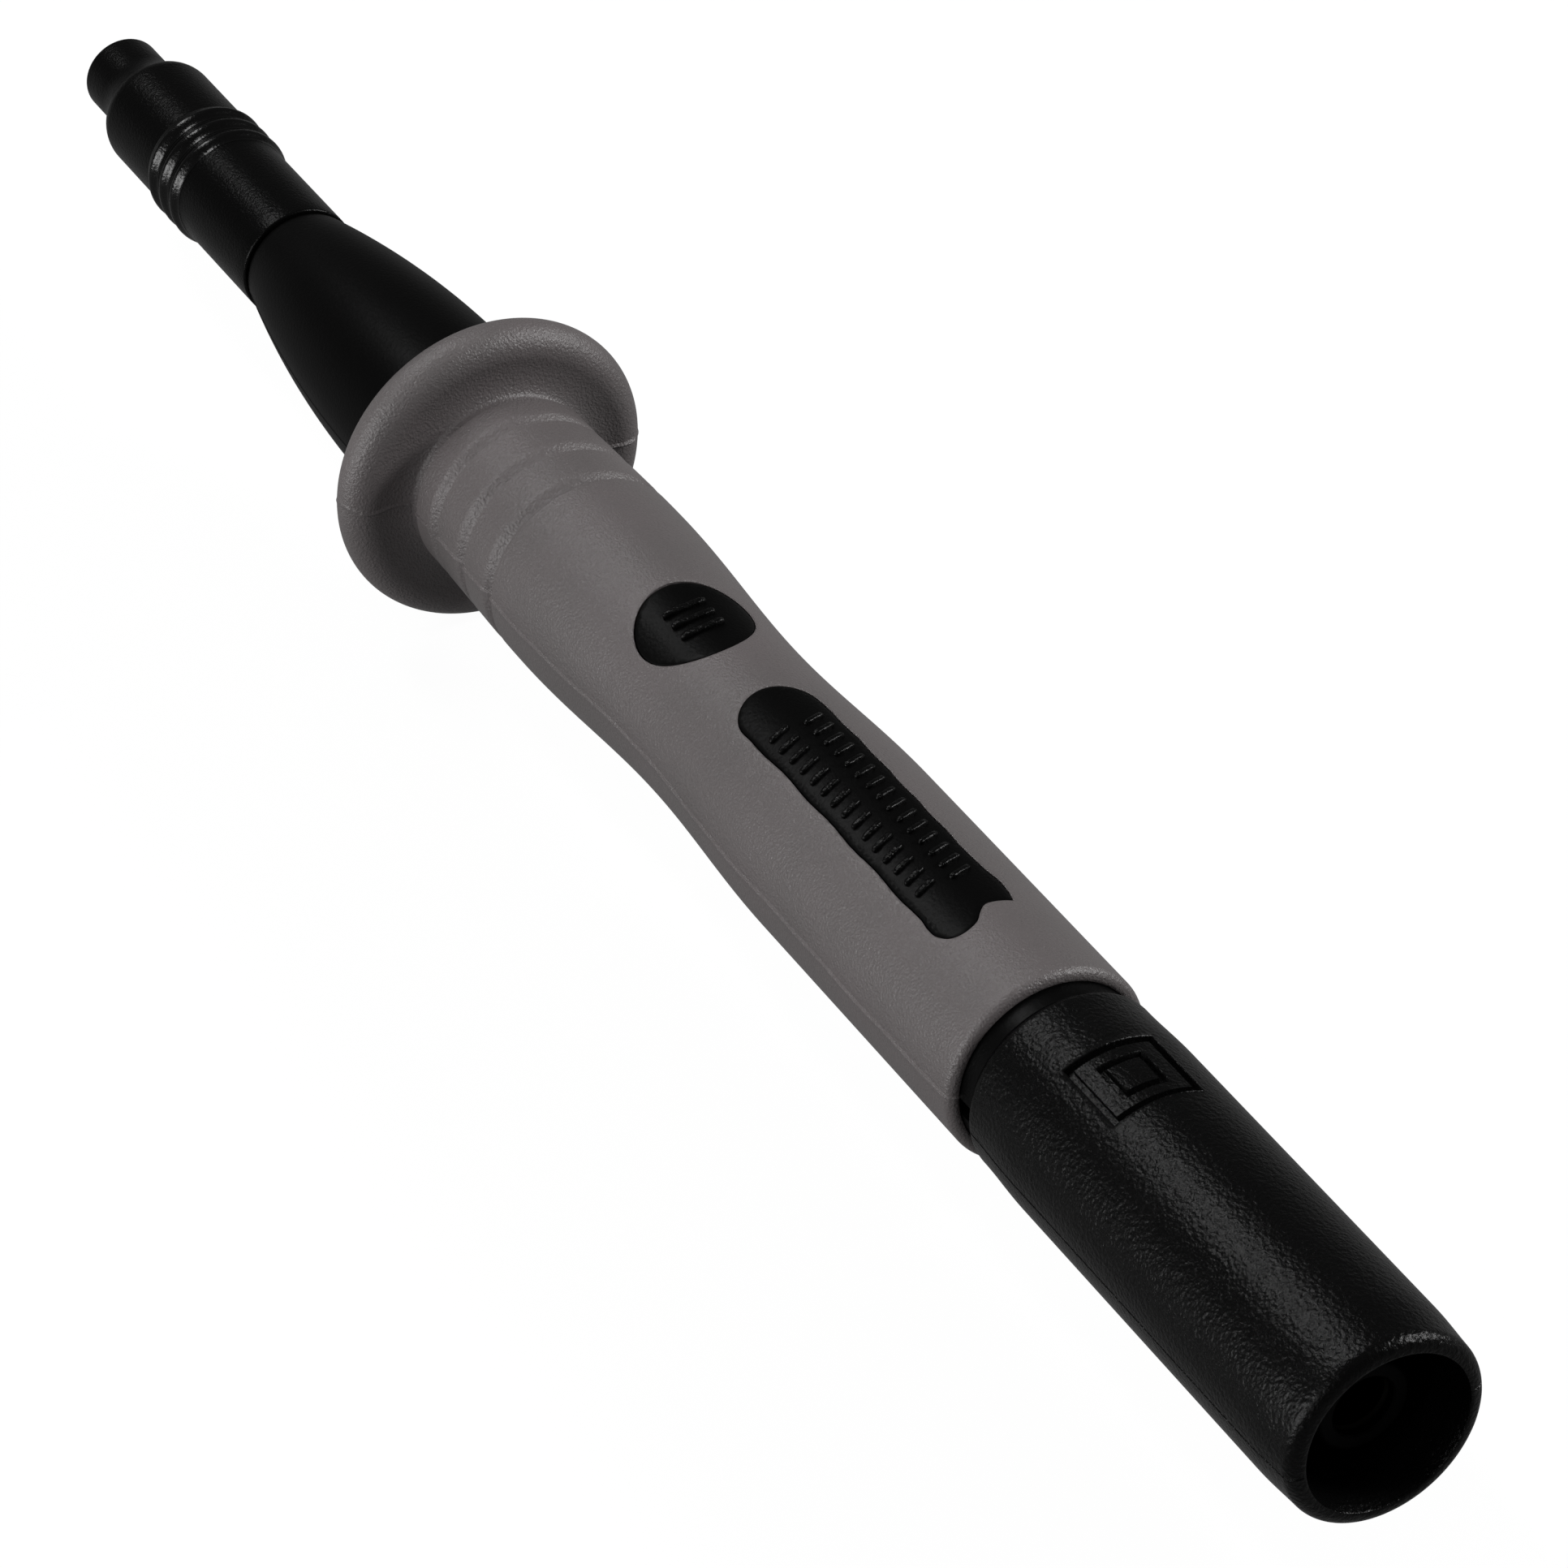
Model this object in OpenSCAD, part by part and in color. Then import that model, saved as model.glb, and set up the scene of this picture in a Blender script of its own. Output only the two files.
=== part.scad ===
// Safety test probe: a 4 mm socket at the rear, a soft grip with a finger guard,
// and a steel needle under a push-on cap. The long axis is +X, towards the needle.
// The origin is the mouth of the 4 mm contact, and +Z is the side with the grip's pads.

/* [Shroud] */
// Outer diameter of the shroud
shroud_d = 13.9; // [13.5:0.1:15.5]
// Bore that the collar of a safety plug enters
well_d = 11.2; // [10.8:0.1:11.6]
// Depth of that bore
well_depth = 22; // [20:0.5:25]
// Thickness of the wall at the bottom of the bore
bulkhead_t = 2.4; // [1.6:0.1:4]
// Rounding of the shroud's rim
rim_round = 0.95; // [0.3:0.05:1]
// Length of the crown at the shroud's front end
crown_len = 5; // [3:0.1:7]
// How much smaller in radius the crown ends
crown_drop = 0.17; // [0:0.01:0.4]
// Rounding of the shroud's front shoulder
shoulder_round = 0.7; // [0.3:0.05:0.8]

/* [Socket] */
// Bore of the contact, for a 4 mm plug
contact_bore_d = 4.06; // [4.02:0.01:4.2]
// Depth of the contact's bore
contact_bore_depth = 18; // [15:0.5:19]
// Wall of the contact's tube
contact_wall = 0.5; // [0.35:0.05:0.7]
// How far the shroud stands proud of the contact
contact_recess = 3.7; // [2.5:0.1:6]
// Wall of the insulating post round the contact
post_wall = 0.6; // [0.5:0.05:0.8]
// How far the post stands proud of the contact
post_lip = 1; // [0.5:0.1:2]
// Thickness of the post's flange
post_flange_t = 1.6; // [1:0.1:3]
// Size across the flats of the contact's hexagon
hex_af = 6; // [5.6:0.1:6.5]
// Length of the contact's hexagon
hex_len = 3; // [2:0.1:4]

/* [Conductor] */
// Diameter of the conductor rod
rod_d = 4; // [3.6:0.1:4.6]
// Diameter of the rod's flange
rod_flange_d = 7.6; // [7.4:0.1:7.8]
// Thickness of the rod's flange
rod_flange_t = 1.8; // [1:0.1:3]
// Diameter of the rod's threaded stud
stud_d = 3; // [2.5:0.1:3.2]
// Length of the stud in the contact
stud_len = 4.4; // [3:0.1:5]
// Thickness of the lock washer
washer_t = 0.6; // [0.4:0.1:1]

/* [Needle] */
// Diameter of the needle
needle_d = 2; // [1.8:0.05:2.2]
// Length of the ground point
point_len = 1.6; // [1:0.1:2.5]
// Diameter of the flat at the tip
point_d = 0.3; // [0.1:0.05:0.6]
// Length of needle that shows beyond the cap
needle_out = 3; // [2:0.1:4]
// Length of the ferrule that joins the needle to the rod
ferrule_len = 14; // [10:0.5:18]
// Outer diameter of the needle's insulation
sheath_d = 3.3; // [3:0.1:3.6]
// How far the insulation stands out of the spigot
sheath_out = 1; // [0.5:0.1:1.5]
// Length of the bush in front of the ferrule
bush_len = 6; // [4:0.5:8]

/* [Core] */
// Main bore of the core
core_bore_d = 6.8; // [6.4:0.1:7]
// Diameter of the spigot that carries the shroud
rear_spigot_d = 10.5; // [10.2:0.1:10.8]
// Length of that spigot
rear_spigot_len = 10.6; // [9:0.2:14]
// Length of the neck that shows between the shroud and the grip
neck_gap = 1.5; // [0.8:0.1:3]
// Cord diameter of the neck's seal
seal_cord = 1; // [0.8:0.05:1.2]

/* [Grip] */
// Thickness of the soft grip
grip_wall = 1.1; // [0.8:0.05:1.4]
// Diameter at the rear of the grip
grip_rear_d = 14.2; // [13.8:0.1:15]
// Thickness of the grip at its rear lip
lip_wall = 0.85; // [0.75:0.05:1.1]
// Rounding of the grip's rear lip
lip_round = 0.6; // [0.4:0.05:0.65]
// Length from the rear lip to the start of the waist
grip_rear_len = 25; // [23:0.5:32]
// Diameter of the waist
waist_d = 12.96; // [12.4:0.02:13.6]
// Length from the start of the waist to its narrowest place
waist_rear_len = 15.7; // [15:0.1:20]
// Length from the narrowest place to the thumb bulge
waist_front_len = 17; // [14:0.1:20]
// Diameter of the thumb bulge
bulge_d = 14.4; // [13.9:0.1:15]
// Diameter at the front of the grip, behind the guard
front_d = 13.8; // [13.4:0.1:14.2]
// Length from the thumb bulge to the first crease
bulge_len = 2.9; // [2.5:0.1:5]
// Distance from one crease to the next
crease_pitch = 4.15; // [3.5:0.05:5]
// Number of creases
crease_n = 3; // [1:1:4]
// Depth of a crease
crease_depth = 0.26; // [0.05:0.01:0.35]
// Length over which a crease falls
crease_fall = 0.35; // [0.2:0.05:0.8]
// Length over which it rises again, towards the guard
crease_rise = 1.4; // [0.8:0.1:2]

/* [Pads] */
// Diameter of the round pad
round_pad_d = 7.9; // [6:0.1:8.5]
// Distance from the waist's narrowest place to the middle of the round pad
round_pad_from_waist = 3.45; // [2:0.05:4]
// Width of the long pad
long_pad_w = 5.6; // [4:0.1:6.4]
// Length of the long pad
long_pad_len = 28; // [20:0.5:29]
// Length of the notched tail at the long pad's rear end
pad_tail_len = 3.6; // [2:0.1:5]
// How far the tail's lower corner swells beyond the pad's side
pad_tail_swell = 0.3; // [0:0.05:0.5]
// Radius of the tail's hollow corner
pad_tail_r = 1.6; // [1:0.1:2.2]
// Distance between the two pads
pad_spacing = 5; // [4:0.1:7]
// How far the pads lie below the grip's surface
pad_sink = 0.15; // [0.05:0.05:0.4]

/* [Relief] */
// Size of the square recess in the shroud
square_size = 6; // [4:0.1:7]
// Size of the square island in it
island_size = 3.1; // [2:0.1:3.6]
// Depth of the recess
square_depth = 0.25; // [0.1:0.05:0.4]
// Distance from the shroud's rim to the middle of the recess
square_from_rim = 28.3; // [20:0.1:29]

/* [Guard] */
// Diameter of the finger guard
guard_d = 22.7; // [19:0.1:26]
// Thickness of the guard's round rim
guard_rim_t = 3.5; // [2.5:0.1:4]
// Depth of the dish in the guard's rear face
dish_depth = 0.15; // [0:0.05:0.4]
// Radius of the hollow where that face meets the grip
root_round = 0.45; // [0.2:0.05:0.8]
// Length from the guard's root to the middle of its rim
guard_from_root = 2.2; // [2:0.05:3]

/* [Cone] */
// Diameter of the cone at the guard
cone_rear_d = 13.66; // [13.2:0.02:14.4]
// Diameter of the cone at the cap
cone_front_d = 8.36; // [8:0.02:8.6]
// Length of the plain collar in front of the guard
cone_collar_len = 3.9; // [2:0.1:6]
// Length of the cone's curve
cone_len = 22.8; // [16:0.1:30]
// Diameter of the spigot that carries the cap
front_spigot_d = 6.7; // [6.2:0.05:6.8]
// Length of that spigot
front_spigot_len = 14; // [10:0.5:17]

/* [Cap] */
// Outer diameter of the cap
cap_d = 8.66; // [8.6:0.02:9.4]
// Diameter over the cap's rings
ring_d = 9.36; // [9.3:0.02:10]
// Number of rings
ring_n = 3; // [1:1:4]
// Distance from one ring to the next
ring_pitch = 1.75; // [1.4:0.05:2]
// Length of the plain tube behind the rings
cap_tube_len = 10.7; // [8:0.1:12]
// Length of the plain body in front of the rings
cap_body_len = 6.75; // [6:0.05:9]
// Radius of the cap's round shoulder
cap_shoulder_r = 2.2; // [1.8:0.1:2.4]
// Length of the round shoulder and the hollow curve before the nose
cap_shoulder_len = 4.2; // [3.6:0.1:6]
// Diameter of the cap's nose
nose_d = 5.9; // [5.2:0.1:6.4]
// Length of the cap's nose
nose_len = 3; // [2.5:0.1:5]
// Rounding of the nose's end
nose_round = 0.45; // [0.2:0.05:0.8]

/* [Hidden] */

seat_gap = 0.1;      // two pieces that meet end to end in one body
slide_fit = 0.05;    // radial clearance of a piece in its bore
bond_gap = 0.02;     // bond line between the core and the soft grip
cap_gap = 0.3;       // gap between the cap and the cone
cap_fit = 0.06;      // radial clearance of the cap on its spigot and needle
chamfer = 0.3;       // small chamfers on turned pieces
edge_break = 0.15;   // broken edges on moulded pieces
min_wall = 0.35;     // least wall that a rounding leaves
lead_in = 0.25;      // chamfer at the contact's mouth, behind the origin
contact_web = 0.8;   // least metal between the contact's bore and its tapped hole
guard_collar = 0.6;  // how far the grip reaches in front of the guard's rim
hollow_end = 110;    // angle at which the hollow at the guard's root runs into its rear face
face_end = -104;     // angle at which that face runs into the guard's rim
lip_seat_len = 1.6;  // how far the grip's thin lip reaches forwards inside
lip_ramp_len = 0.6;  // length over which the thin lip grows to the full wall
core_front_wall = 1.2;  // how far the main bore reaches under the cone's curve
drill_ratio = 0.6;   // length of a drilled hole's point over its radius
stud_end_gap = 0.4;  // space beyond the stud in its hole
ring_root = 0.1;     // how far the valleys between the rings stand out of the cap
ring_steps = 6;      // segments in each ring
ring_share = 0.92;   // share of the pitch that a ring takes up
hollow_power = 2.4;  // how quickly the curve before the nose flattens out
washer_teeth = 8;    // teeth of the lock washer
tooth_gap = 0.5;     // width of the slot between two teeth
tooth_len = 0.6;     // depth of that slot
over = 1;            // how far a cut reaches beyond the solid
shoulder_angle = 55; // how far round the cap's shoulder turns
curve_steps = 14;    // segments in each blended curve
arc_steps = 8;       // segments in each rounding
$fn = 96;

shroud_r = shroud_d / 2;
well_r = well_d / 2;
neck_r = grip_rear_d / 2 - lip_wall - bond_gap;
contact_bore_r = contact_bore_d / 2;
contact_r = contact_bore_r + contact_wall;
post_bore_r = contact_r + slide_fit;
post_r = post_bore_r + post_wall;
rear_spigot_r = rear_spigot_d / 2;
core_bore_r = core_bore_d / 2;
rod_r = rod_d / 2;
stud_r = stud_d / 2;
needle_r = needle_d / 2;
sheath_r = sheath_d / 2;
front_spigot_r = front_spigot_d / 2;
sheath_bore_r = sheath_r + slide_fit;

// stations along the axis, from the rear to the front
x_rim = -contact_recess;
x_well_end = x_rim + well_depth;
x_bulkhead_end = x_well_end + bulkhead_t;
x_flange = x_bulkhead_end + seat_gap;
x_spigot = x_flange + post_flange_t + seat_gap;
x_shroud_end = x_spigot + rear_spigot_len;
x_lip = x_shroud_end + neck_gap;
x_drill_end = contact_bore_depth + contact_bore_r * drill_ratio;
x_hex = max(x_spigot, x_drill_end + contact_web + stud_len - hex_len);
x_stud = x_hex + hex_len - stud_len;
x_washer = x_hex + hex_len + seat_gap;
x_rod_flange = x_washer + washer_t + seat_gap;
x_core_step = x_rod_flange + rod_flange_t + seat_gap;
x_waist_start = x_lip + grip_rear_len;
x_waist = x_waist_start + waist_rear_len;
x_bulge = x_waist + waist_front_len;
x_crease = x_bulge + bulge_len;
x_root = x_crease + (crease_n - 0.15) * crease_pitch;
x_guard = x_root + guard_from_root;
x_grip_end = x_guard + guard_rim_t / 2 + guard_collar;
x_cone = x_grip_end + bond_gap + cone_collar_len;
x_cone_end = x_cone + cone_len;
x_spigot_end = x_cone_end + front_spigot_len;
x_cap = x_cone_end + cap_gap;
x_rings = x_cap + cap_tube_len;
x_cap_body = x_rings + ring_n * ring_pitch;
x_shoulder = x_cap_body + cap_body_len;
x_nose = x_shoulder + cap_shoulder_len;
x_cap_end = x_nose + nose_len;
x_tip = x_cap_end + needle_out;
x_sheath_end = x_spigot_end + sheath_out;
x_core_front = x_cone + core_front_wall;
x_bush = x_core_front - seat_gap - bush_len;
x_ferrule_end = x_bush - seat_gap;
x_ferrule = x_ferrule_end - ferrule_len;
x_rod_end = x_ferrule + ferrule_len / 2 - seat_gap;
x_needle = x_ferrule + ferrule_len / 2;

// an S-shaped blend from 0 to 1, and points [radius, x] along it
function blend(t) = (1 - cos(180 * t)) / 2;
function curve(x0, r0, x1, r1) =
    [for (i = [1:curve_steps]) let (t = i / curve_steps) [r0 + (r1 - r0) * blend(t), x0 + (x1 - x0) * t]];

// points on an arc round [radius, x]; an angle of 0 points outwards and 90 points forwards
function arc(r, x, radius, from, to, steps = arc_steps) =
    [for (i = [0:steps]) let (a = from + (to - from) * i / steps) [r + radius * cos(a), x + radius * sin(a)]];

module turned(points) {
    rotate([0, 90, 0]) rotate_extrude() polygon(points);
}

module rod(r, x0, x1) {
    translate([x0, 0, 0]) rotate([0, 90, 0]) cylinder(r = r, h = x1 - x0);
}

// the grip steps in by the same amount at each crease, down to its front diameter
crease_step = (bulge_d - front_d) / 2 / crease_n;
function crease_points(i) =
    let (x = x_crease + i * crease_pitch, before = bulge_d / 2 - i * crease_step)
    let (after = before - crease_step)
    [[before, x - crease_fall], [after - crease_depth, x],
     [after - crease_depth / 2, x + crease_rise / 2], [after, x + crease_rise]];

// outline of the waist and the thumb bulge, less an inset
function grip_body(inset) = concat(
    curve(x_waist_start, grip_rear_d / 2 - inset, x_waist, waist_d / 2 - inset),
    curve(x_waist, waist_d / 2 - inset, x_bulge, bulge_d / 2 - inset)
);

module core_outside() {
    guard_core_r = front_d / 2 - grip_wall;
    full_wall_r = grip_rear_d / 2 - grip_wall - bond_gap;
    turned(concat(
        [[0, x_spigot], [rear_spigot_r - chamfer, x_spigot], [rear_spigot_r, x_spigot + chamfer]],
        [[rear_spigot_r, x_shroud_end + seat_gap], [neck_r, x_shroud_end + seat_gap]],
        [[neck_r, x_lip + lip_seat_len]],
        [[full_wall_r, x_lip + lip_seat_len + lip_ramp_len], [full_wall_r, x_waist_start]],
        grip_body(grip_wall + bond_gap),
        [[guard_core_r - bond_gap, x_crease], [guard_core_r - bond_gap, x_grip_end + bond_gap]],
        [[cone_rear_d / 2, x_grip_end + bond_gap]],
        [for (i = [0:curve_steps]) let (t = i / curve_steps)
            [cone_rear_d / 2 - (cone_rear_d - cone_front_d) / 2 * t * t, x_cone + cone_len * t]],
        [[front_spigot_r, x_cone_end], [front_spigot_r, x_spigot_end - chamfer]],
        [[front_spigot_r - chamfer, x_spigot_end], [0, x_spigot_end]]
    ));
}

module core_bore() {
    turned([
        [0, x_spigot - over], [rod_flange_d / 2 + slide_fit, x_spigot - over],
        [rod_flange_d / 2 + slide_fit, x_core_step], [core_bore_r, x_core_step],
        [core_bore_r, x_core_front], [sheath_bore_r, x_core_front],
        [sheath_bore_r, x_spigot_end + over], [0, x_spigot_end + over],
    ]);
}

// groove for the seal in the core's rear spigot
module seal_groove(extra) {
    ring_r = rear_spigot_r - seal_cord / 2 + slide_fit;
    translate([x_shroud_end - 2 * seal_cord, 0, 0]) rotate([0, 90, 0])
        rotate_extrude() translate([ring_r, 0]) circle(d = seal_cord + extra);
}

// outlines of the two pads, seen from above
module round_pad_outline(extra) {
    translate([x_waist + round_pad_from_waist, 0]) circle(d = round_pad_d + 2 * extra);
}

module long_pad_outline(extra) {
    front = x_waist + round_pad_from_waist - round_pad_d / 2 - pad_spacing;
    half = long_pad_w / 2 + extra;
    rear = front - long_pad_len - extra;
    tail = pad_tail_len;
    swell = pad_tail_swell;
    corner = pad_tail_r;
    union() {
        translate([front - long_pad_w / 2, 0]) circle(r = half);
        polygon(concat(
            [[front - long_pad_w / 2, half], [front - long_pad_w / 2, -half]],
            [[rear + tail, -half], [rear + 0.72 * tail, -half - swell]],
            [[rear + tail / 4, -half - swell / 6]],
            [[rear + 0.36 * tail, -0.45 * half], [rear + tail / 3, -0.1 * half]],
            [[rear + 0.14 * tail, 0.15 * half]],
            [for (i = [0:arc_steps]) let (a = 180 - 90 * i / arc_steps)
                [rear + corner * (1 + cos(a)), half + corner * (sin(a) - 1)]]
        ));
    }
}

module pads_prism(extra) {
    linear_extrude(height = bulge_d) {
        round_pad_outline(extra);
        long_pad_outline(extra);
    }
}

module handle_core() {
    color("#1c1b1c") difference() {
        union() {
            core_outside();
            intersection() {
                pads_prism(-bond_gap);
                turned(concat(
                    [[0, x_lip + lip_seat_len], [grip_rear_d / 2 - pad_sink, x_lip + lip_seat_len]],
                    [[grip_rear_d / 2 - pad_sink, x_waist_start]],
                    grip_body(pad_sink), [[0, x_bulge]]
                ));
            }
        }
        core_bore();
        seal_groove(2 * slide_fit);
    }
}

module grip_sleeve() {
    outer_r = grip_rear_d / 2;
    lip = min(lip_round, 0.9 * (lip_wall - edge_break));
    rim_r = guard_rim_t / 2;
    rim_centre_r = guard_d / 2 - rim_r;
    root_r = front_d / 2;
    hollow = arc(root_r + root_round, x_root, root_round, 180, hollow_end);
    rim = arc(rim_centre_r, x_guard, rim_r, face_end, 90, 2 * arc_steps);
    face_from = hollow[arc_steps];
    inner_front_r = root_r - grip_wall;
    color("#68615f") difference() {
        turned(concat(
            [[outer_r - lip_wall, x_lip + edge_break], [outer_r - lip_wall + edge_break, x_lip]],
            arc(outer_r - lip, x_lip + lip, lip, -90, 0),
            [[outer_r, x_waist_start]],
            grip_body(0),
            [for (i = [0:crease_n - 1]) each crease_points(i)],
            hollow,
            [for (i = [1:arc_steps - 1]) let (t = i / arc_steps)
                face_from + (rim[0] - face_from) * t + [0, dish_depth * sin(180 * t)]],
            rim,
            arc(root_r + guard_collar, x_grip_end, guard_collar, -90, -180),
            [[inner_front_r, x_grip_end]],
            [[inner_front_r, x_crease]],
            [for (i = [2 * curve_steps - 1:-1:0]) grip_body(grip_wall)[i]],
            [[outer_r - grip_wall, x_waist_start]],
            [[outer_r - grip_wall, x_lip + lip_seat_len + lip_ramp_len]],
            [[outer_r - lip_wall, x_lip + lip_seat_len]]
        ));
        pads_prism(0);
    }
}

module rear_sleeve() {
    rim = min(rim_round, shroud_r - well_r - min_wall);
    crown_r = shroud_r - crown_drop;
    color("#1c1b1c") difference() {
        turned(concat(
            [[well_r, x_rim + edge_break], [well_r + edge_break, x_rim]],
            arc(shroud_r - rim, x_rim + rim, rim, -90, 0),
            curve(x_shroud_end - shoulder_round - crown_len, shroud_r,
                  x_shroud_end - shoulder_round, crown_r),
            arc(crown_r - shoulder_round, x_shroud_end - shoulder_round, shoulder_round, 0, 90),
            [[rear_spigot_r + slide_fit, x_shroud_end], [rear_spigot_r + slide_fit, x_bulkhead_end]],
            [[post_r + slide_fit, x_bulkhead_end], [post_r + slide_fit, x_well_end], [well_r, x_well_end]]
        ));
        intersection() {
            translate([x_rim + square_from_rim, 0, 0]) linear_extrude(height = shroud_d) difference() {
                square(square_size, center = true);
                square(island_size, center = true);
            }
            turned([
                [shroud_r - square_depth, x_rim], [shroud_r + over, x_rim],
                [shroud_r + over, x_shroud_end], [shroud_r - square_depth, x_shroud_end],
            ]);
        }
    }
}

module neck_seal() {
    color("#2a2a2a") seal_groove(0);
}

module socket_insulator() {
    lip_bore_r = contact_bore_r + slide_fit;
    x_step = -lead_in - seat_gap;
    color("#242324") turned([
        [lip_bore_r, -post_lip], [post_r - 1.5 * chamfer, -post_lip],
        [post_r, -post_lip + 2 * chamfer], [post_r, x_flange],
        [rear_spigot_r - chamfer, x_flange], [rear_spigot_r - chamfer, x_flange + post_flange_t],
        [post_bore_r, x_flange + post_flange_t], [post_bore_r, x_step], [lip_bore_r, x_step],
    ]);
}

module socket_contact() {
    color("#c9c5bb") difference() {
        union() {
            rod(contact_r, -lead_in, x_hex);
            translate([x_hex, 0, 0]) rotate([0, 90, 0]) cylinder(d = hex_af / cos(30), h = hex_len, $fn = 6);
        }
        turned([
            [0, -over], [contact_bore_r + over, -over], [contact_bore_r, 0],
            [contact_bore_r, contact_bore_depth],
            [0, x_drill_end],
        ]);
        rod(stud_r + slide_fit, x_stud, x_hex + hex_len + over);
    }
}

module lock_washer() {
    color("#b9b6ae") difference() {
        rod(hex_af / 2, x_washer, x_washer + washer_t);
        rod(stud_r + edge_break, x_washer - over, x_washer + washer_t + over);
        for (i = [0:washer_teeth - 1]) rotate([i * 360 / washer_teeth, 0, 0])
            translate([x_washer - over, -tooth_gap / 2, hex_af / 2 - tooth_len])
                cube([washer_t + 2 * over, tooth_gap, tooth_len + over]);
    }
}

module conductor_rod() {
    color("#b58f3e") turned([
        [0, x_stud + stud_end_gap], [stud_r - chamfer, x_stud + stud_end_gap],
        [stud_r, x_stud + stud_end_gap + chamfer], [stud_r, x_rod_flange],
        [rod_flange_d / 2, x_rod_flange], [rod_flange_d / 2, x_rod_flange + rod_flange_t],
        [rod_r, x_rod_flange + rod_flange_t], [rod_r, x_rod_end - chamfer],
        [rod_r - chamfer, x_rod_end], [0, x_rod_end],
    ]);
}

module needle_holder() {
    r = core_bore_r - slide_fit;
    color("#b58f3e") turned([
        [rod_r + slide_fit / 2, x_ferrule], [r - chamfer, x_ferrule], [r, x_ferrule + chamfer],
        [r, x_ferrule_end - chamfer], [r - chamfer, x_ferrule_end], [needle_r + slide_fit / 2, x_ferrule_end],
        [needle_r + slide_fit / 2, x_needle], [rod_r + slide_fit / 2, x_needle],
    ]);
}

module nose_bush() {
    r = core_bore_r - slide_fit;
    color("#d8d4c8") turned([
        [sheath_bore_r, x_bush], [r - chamfer, x_bush], [r, x_bush + chamfer],
        [r, x_bush + bush_len], [sheath_bore_r, x_bush + bush_len],
    ]);
}

module needle_sheath() {
    color("#262526") turned([
        [needle_r + bond_gap, x_bush], [sheath_r, x_bush], [sheath_r, x_sheath_end - chamfer],
        [sheath_r - chamfer, x_sheath_end], [needle_r + bond_gap, x_sheath_end],
    ]);
}

module probe_needle() {
    color("#c4c6c8") turned([
        [0, x_needle], [needle_r - chamfer, x_needle], [needle_r, x_needle + chamfer],
        [needle_r, x_tip - point_len], [point_d / 2, x_tip], [0, x_tip],
    ]);
}

module tip_cap() {
    body_r = cap_d / 2;
    nose_r = nose_d / 2;
    ring_r = ring_d / 2;
    valley_r = body_r + ring_root;
    bore_r = front_spigot_r + cap_fit;
    tunnel_r = sheath_r + cap_gap;
    needle_bore_r = needle_r + cap_fit;
    shoulder_end_r = body_r - cap_shoulder_r * (1 - cos(shoulder_angle));
    shoulder_end_x = x_shoulder + cap_shoulder_r * sin(shoulder_angle);
    color("#1c1b1c") turned(concat(
        [[bore_r, x_cap + edge_break], [bore_r + edge_break, x_cap]],
        [[body_r - edge_break, x_cap], [body_r, x_cap + edge_break], [body_r, x_rings]],
        [for (i = [0:ring_n - 1], j = [0:ring_steps]) let (t = j / ring_steps)
            [valley_r + (ring_r - valley_r) * sin(180 * t),
             x_rings + (i + 0.5 + ring_share * (t - 0.5)) * ring_pitch]],
        [[body_r, x_cap_body + cap_gap]],
        arc(body_r - cap_shoulder_r, x_shoulder, cap_shoulder_r, 0, shoulder_angle),
        [for (i = [1:arc_steps]) let (t = i / arc_steps)
            [nose_r + (shoulder_end_r - nose_r) * pow(1 - t, hollow_power),
             shoulder_end_x + (x_nose - shoulder_end_x) * t]],
        arc(nose_r - nose_round, x_cap_end - nose_round, nose_round, 0, 90),
        [[needle_bore_r, x_cap_end], [needle_bore_r, x_nose], [tunnel_r, x_nose - over]],
        [[tunnel_r, x_spigot_end + cap_gap], [bore_r, x_spigot_end + cap_gap]]
    ));
}

handle_core();
grip_sleeve();
rear_sleeve();
neck_seal();
socket_insulator();
socket_contact();
lock_washer();
conductor_rod();
needle_holder();
nose_bush();
needle_sheath();
probe_needle();
tip_cap();
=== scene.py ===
"""Dressed model of a safety test probe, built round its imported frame.

Lengths in the classes are millimetres, and a mesh is written in metres. An angle
round the probe is measured from +Z, the side of the pads, towards +Y.
"""
import logging
import math
from collections.abc import Callable, Sequence
from dataclasses import dataclass, field
from enum import Enum

import bpy
import numpy as np
from mathutils import Matrix, Vector
from mathutils.geometry import delaunay_2d_cdt


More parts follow.
